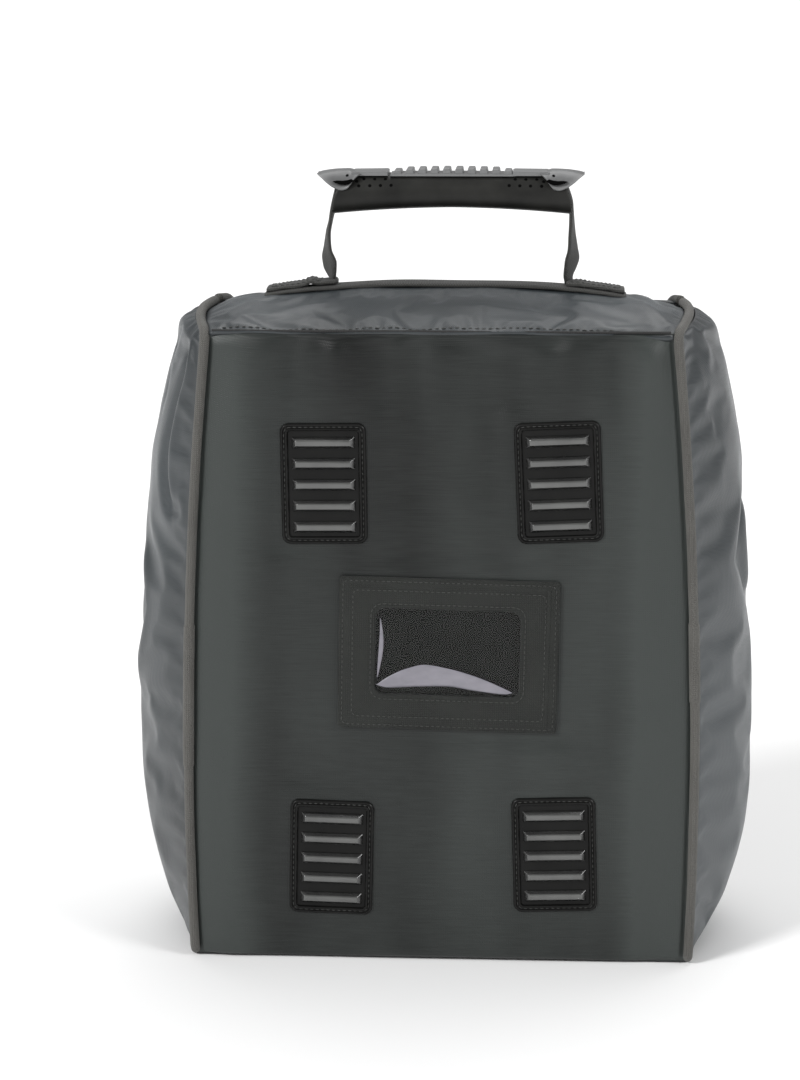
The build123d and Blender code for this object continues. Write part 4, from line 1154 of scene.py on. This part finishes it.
bv = body.modifiers.new("b", "BEVEL"); bv.width = 0.0007; bv.segments = 3; bv.limit_method = "ANGLE"; bv.angle_limit = math.radians(50)
ride(body, "handle", "moulded_grip", "grip")

# back strip with finger ribs
def bar(name, outline, y_half, mat, round_=0.5, ends=0.0):
    """An outline in x and z (mm), extruded across, with soft edges."""
    V, F = [], []
    n_ = len(outline)
    c = np.mean(outline, axis=0)
    for y, k in ((-y_half, 0.0), (-y_half + round_ * 0.3, 0.6), (-y_half + round_, 1.0), (y_half - round_, 1.0), (y_half - round_ * 0.3, 0.6), (y_half, 0.0)):
        for x_, z_ in outline:
            d = np.array([x_, z_]) - c
            L_ = np.linalg.norm(d)
            q = c + d * (1 - (1 - k) * round_ * 0.5 / max(L_, 1e-6))
            V.append((q[0] * MM, y * MM, q[1] * MM))
    for k in range(5):
        for i in range(n_):
            j = (i + 1) % n_
            F.append((k * n_ + i, k * n_ + j, (k + 1) * n_ + j, (k + 1) * n_ + i))
    F.append(tuple(range(n_))[::-1])
    F.append(tuple(5 * n_ + i for i in range(n_)))
    o = obj_from(name, V, F, mat)
    bm = bmesh.new(); bm.from_mesh(o.data)
    bmesh.ops.recalc_face_normals(bm, faces=bm.faces)
    bm.to_mesh(o.data); bm.free()
    shade_edges(o, 32)
    return o


xs = np.linspace(-30.5, 30.5, 40)
low = [(HX + x_, 385.6 - 0.1 * 0) for x_ in xs[::-1]]
RX = HX + 1.2
up = [(RX + x_, 387.2 + 0.25 * (1 - (x_ / 31) ** 2)) for x_ in xs]
strips = [bar("s0", up + [(RX + 30.6, 386.2), (RX - 30.6, 386.2)], 8.8, GRIP_TOP_M)]
for i in range(10):
    x_ = RX + (i - 4.5) * 6.02
    h = 389.2 + 0.7 * (1 - ((i - 4.5) / 5.0) ** 2) - (0.5 if i in (0, 9) else 0)
    strips.append(bar("r", [(x_ - 2.3, 386.3), (x_ - 1.75, h - 0.5), (x_ - 1.3, h), (x_ + 1.3, h), (x_ + 1.75, h - 0.5), (x_ + 2.3, 386.3)], 8.4, GRIP_TOP_M))
for sg in (-1, 1):
    a, b_ = 30.5, 47.5
    strips.append(bar("p", [(HX + sg * q[0], q[1]) for q in ((a, 386.4), (a, 388.2), (a + 0.8, 388.6), (b_, 388.4), (b_ + 1.0, 388.0), (b_ + 1.0, 386.4))], 9.0, GRIP_TOP_M))
back_strip = join("grip_back_ribs", strips)
ride(back_strip, "handle", "moulded_grip")

# pointed hoods: an upper bill whose rim overhangs a darker scoop; the scoop's near-black is partly darker rubber and
# partly painted shade in the gap under the rim
for sg, side in ((-1, "left"), (1, "right")):
    upper = pchip([44, 48, 50, 56, 61, 64.6, 65.6], [387.6, 388.7, 389.2, 389.0, 388.4, 387.6, 387.0])
    rim = pchip([44, 46.5, 48.5, 50.5, 53, 56.5, 60.5, 63.5, 65.6], [387.2, 385.2, 382.4, 380.2, 379.5, 380.6, 383.2, 385.6, 386.9])
    wid = pchip([44, 47, 50, 56, 60, 63, 65, 65.6], [10.8, 12.8, 13.3, 13.2, 12.4, 10.4, 7.4, 5.6])
    xs = np.linspace(44, 65.6, 34)
    V, F = [], []
    ny = 21
    for x_ in xs:
        hw_, tz, rz = float(wid(x_)), float(upper(x_)), float(rim(x_))
        ring = []
        for k in range(ny):
            q = -1 + 2 * k / (ny - 1)
            ring.append((q * hw_, tz - (tz - rz - 0.5) * abs(q) ** 3.2))
        for k in range(ny - 1, -1, -1):
            q = -1 + 2 * k / (ny - 1)
            ring.append((q * (hw_ - 0.5), max(tz - 1.5, rz + 0.2) - (max(tz - 1.5, rz + 0.2) - rz) * abs(q) ** 5))
        V += [((HX + sg * x_) * MM, yy_ * MM, zz_ * MM) for yy_, zz_ in ring]
    m_ = 2 * ny
    for i in range(len(xs) - 1):
        for j in range(m_):
            k = (j + 1) % m_
            F.append((i * m_ + j, i * m_ + k, (i + 1) * m_ + k, (i + 1) * m_ + j))
    F.append(tuple(range(m_))); F.append(tuple((len(xs) - 1) * m_ + j for j in range(m_))[::-1])
    o = obj_from(f"grip_hood_{side}", V, F, GRIP_TOP_M)
    bm = bmesh.new(); bm.from_mesh(o.data)
    bmesh.ops.recalc_face_normals(bm, faces=bm.faces)
    bm.to_mesh(o.data); bm.free()
    shade_edges(o, 45)
    ride(o, "handle", "moulded_grip")
    outline = [(46.6, 384.4), (48.6, 383.0), (50.6, 382.3), (53.0, 382.4), (55.6, 383.1), (57.2, 384.0), (55.4, 384.3), (52.6, 384.2), (50.2, 384.5), (48.2, 385.1)]
    o = bar(f"grip_scoop_{side}", [(HX + sg * q[0], q[1]) for q in outline], 13.55, RECESS_SHADE_M, 0.3)
    ride(o, "handle", "moulded_grip")

# vent holes on both faces of the grip, drawn as near-black discs on the surface: painted shade inside the holes
DOTS = [(-50.4, 386.8), (-44.9, 386.4), (-45.6, 384.0), (-42.2, 385.0), (-36.9, 385.0), (-31.7, 385.0), (-44.6, 381.9), (-39.2, 382.0), (-34.0, 382.1), (-28.8, 382.2)]
dg = bpy.context.evaluated_depsgraph_get()
trees = [BVHTree.FromObject(bpy.data.objects[k], dg) for k in ("grip_body", "grip_back_ribs", "grip_hood_left", "grip_hood_right")]
V, F = [], []
for sg in (-1, 1):
    for dx_, dz_ in DOTS:
        for face in (-1, 1):
            o_ = Vector(((HX - sg * dx_ * -1 if False else HX + sg * dx_) * MM, face * 0.05, (dz_ - 0.2) * MM))
            hits = [t.ray_cast(o_, Vector((0, -face, 0))) for t in trees]
            hits = [h for h in hits if h[0] is not None]
            if not hits:
                continue
            h = min(hits, key=lambda h: h[3])
            if abs(h[0].y) < 0.004:
                continue
            nrm = h[1] if h[1].y * face > 0 else -h[1]
            q = nrm.to_track_quat("Z", "Y").to_matrix()
            base_i = len(V)
            for depth, r_ in ((-0.0006, 0.00078), (0.00003, 0.00082), (0.00006, 0.0006)):
                for k in range(12):
                    a = 2 * math.pi * k / 12
                    V.append(h[0] + q @ Vector((r_ * math.cos(a), r_ * math.sin(a), depth)))
            for r_i in range(2):
                for k in range(12):
                    k2 = (k + 1) % 12
                    F.append((base_i + r_i * 12 + k, base_i + r_i * 12 + k2, base_i + (r_i + 1) * 12 + k2, base_i + (r_i + 1) * 12 + k))
            F.append(tuple(base_i + k for k in range(12))[::-1])
            F.append(tuple(base_i + 24 + k for k in range(12)))
o = obj_from("grip_holes", V, F, RECESS_SHADE_M)
ride(o, "handle", "moulded_grip")

ride(st, "shell", "side_fabric")

# ------------------------------------------------------------- carried-over CAD parts
for nme, mat in (("slider_left", METAL_M), ("slider_right", METAL_M), ("pull_left", METAL_M), ("pull_right", METAL_M), ("zip_stop_left", METAL_M),
                 ("zip_stop_right", METAL_M), ("front_board", FOAM_M), ("rear_board", FOAM_M), ("base_board", FOAM_M)):
    ob = frame["nodes"][nme]
    ob.data.materials.clear() if False else None
    for sl in ob.material_slots:
        sl.material = mat

# ------------------------------------------------------------- stage, light, camera
me = bpy.data.meshes.new("floor")
me.from_pydata([(-26, -26, 0), (26, -26, 0), (26, 26, 0), (-26, 26, 0)], [], [(0, 1, 2, 3)])
floor = bpy.data.objects.new("floor", me)
SCENE.collection.objects.link(floor)
fm, nt, b = nodes_of("floor_paper")
b.inputs["Base Color"].default_value = (0.93, 0.93, 0.93, 1)
b.inputs["Roughness"].default_value = 0.9
b.inputs["Specular IOR Level"].default_value = 0.1
me.materials.append(fm)

world = bpy.data.worlds.new("studio")
SCENE.world = world
world.use_nodes = True
world.node_tree.nodes["Background"].inputs[0].default_value = (1, 1, 1, 1)
world.node_tree.nodes["Background"].inputs[1].default_value = 0.40


def sun(name, azimuth, elevation, strength, spread_deg):
    """A broad, soft light from far away. Azimuth 0 is the camera's side, 90 the right."""
    l = bpy.data.lights.new(name, "SUN")
    l.energy = strength
    l.angle = math.radians(spread_deg)
    o = bpy.data.objects.new(name, l)
    a, e = math.radians(azimuth), math.radians(elevation)
    d = Vector((math.sin(a) * math.cos(e), -math.cos(a) * math.cos(e), math.sin(e)))
    o.rotation_mode = "QUATERNION"
    o.rotation_quaternion = d.to_track_quat("Z", "Y")
    SCENE.collection.objects.link(o)
    return o


sun("key", -50, 32, 2.3, 16)
sun("fill", 62, 28, 1.1, 22)
sun("top_light", 170, 66, 1.3, 50)

CAM = dict(loc=(53.629, -1323.678, 508.881), yaw=-3.317, pitch=13.043, roll=0.202, f=2683.0)
cam = bpy.data.cameras.new("camera")
cam.sensor_width = 36.0
cam.lens = CAM["f"] / 1080 * 36
cam.clip_start, cam.clip_end = 0.05, 50
co = bpy.data.objects.new("camera", cam)
SCENE.collection.objects.link(co)
y_, p_, r_ = (math.radians(CAM[k]) for k in ("yaw", "pitch", "roll"))
fw = Vector((math.sin(y_) * math.cos(p_), math.cos(y_) * math.cos(p_), -math.sin(p_)))
right = fw.cross(Vector((0, 0, 1))).normalized()
upv = right.cross(fw)
right, upv = right * math.cos(r_) - upv * math.sin(r_), upv * math.cos(r_) + right * math.sin(r_)
co.matrix_world = Matrix(((right.x, upv.x, -fw.x, CAM["loc"][0] * MM), (right.y, upv.y, -fw.y, CAM["loc"][1] * MM), (right.z, upv.z, -fw.z, CAM["loc"][2] * MM), (0, 0, 0, 1)))
SCENE.camera = co
SCENE.view_settings.view_transform = "Standard"
SCENE.view_settings.look = "None"
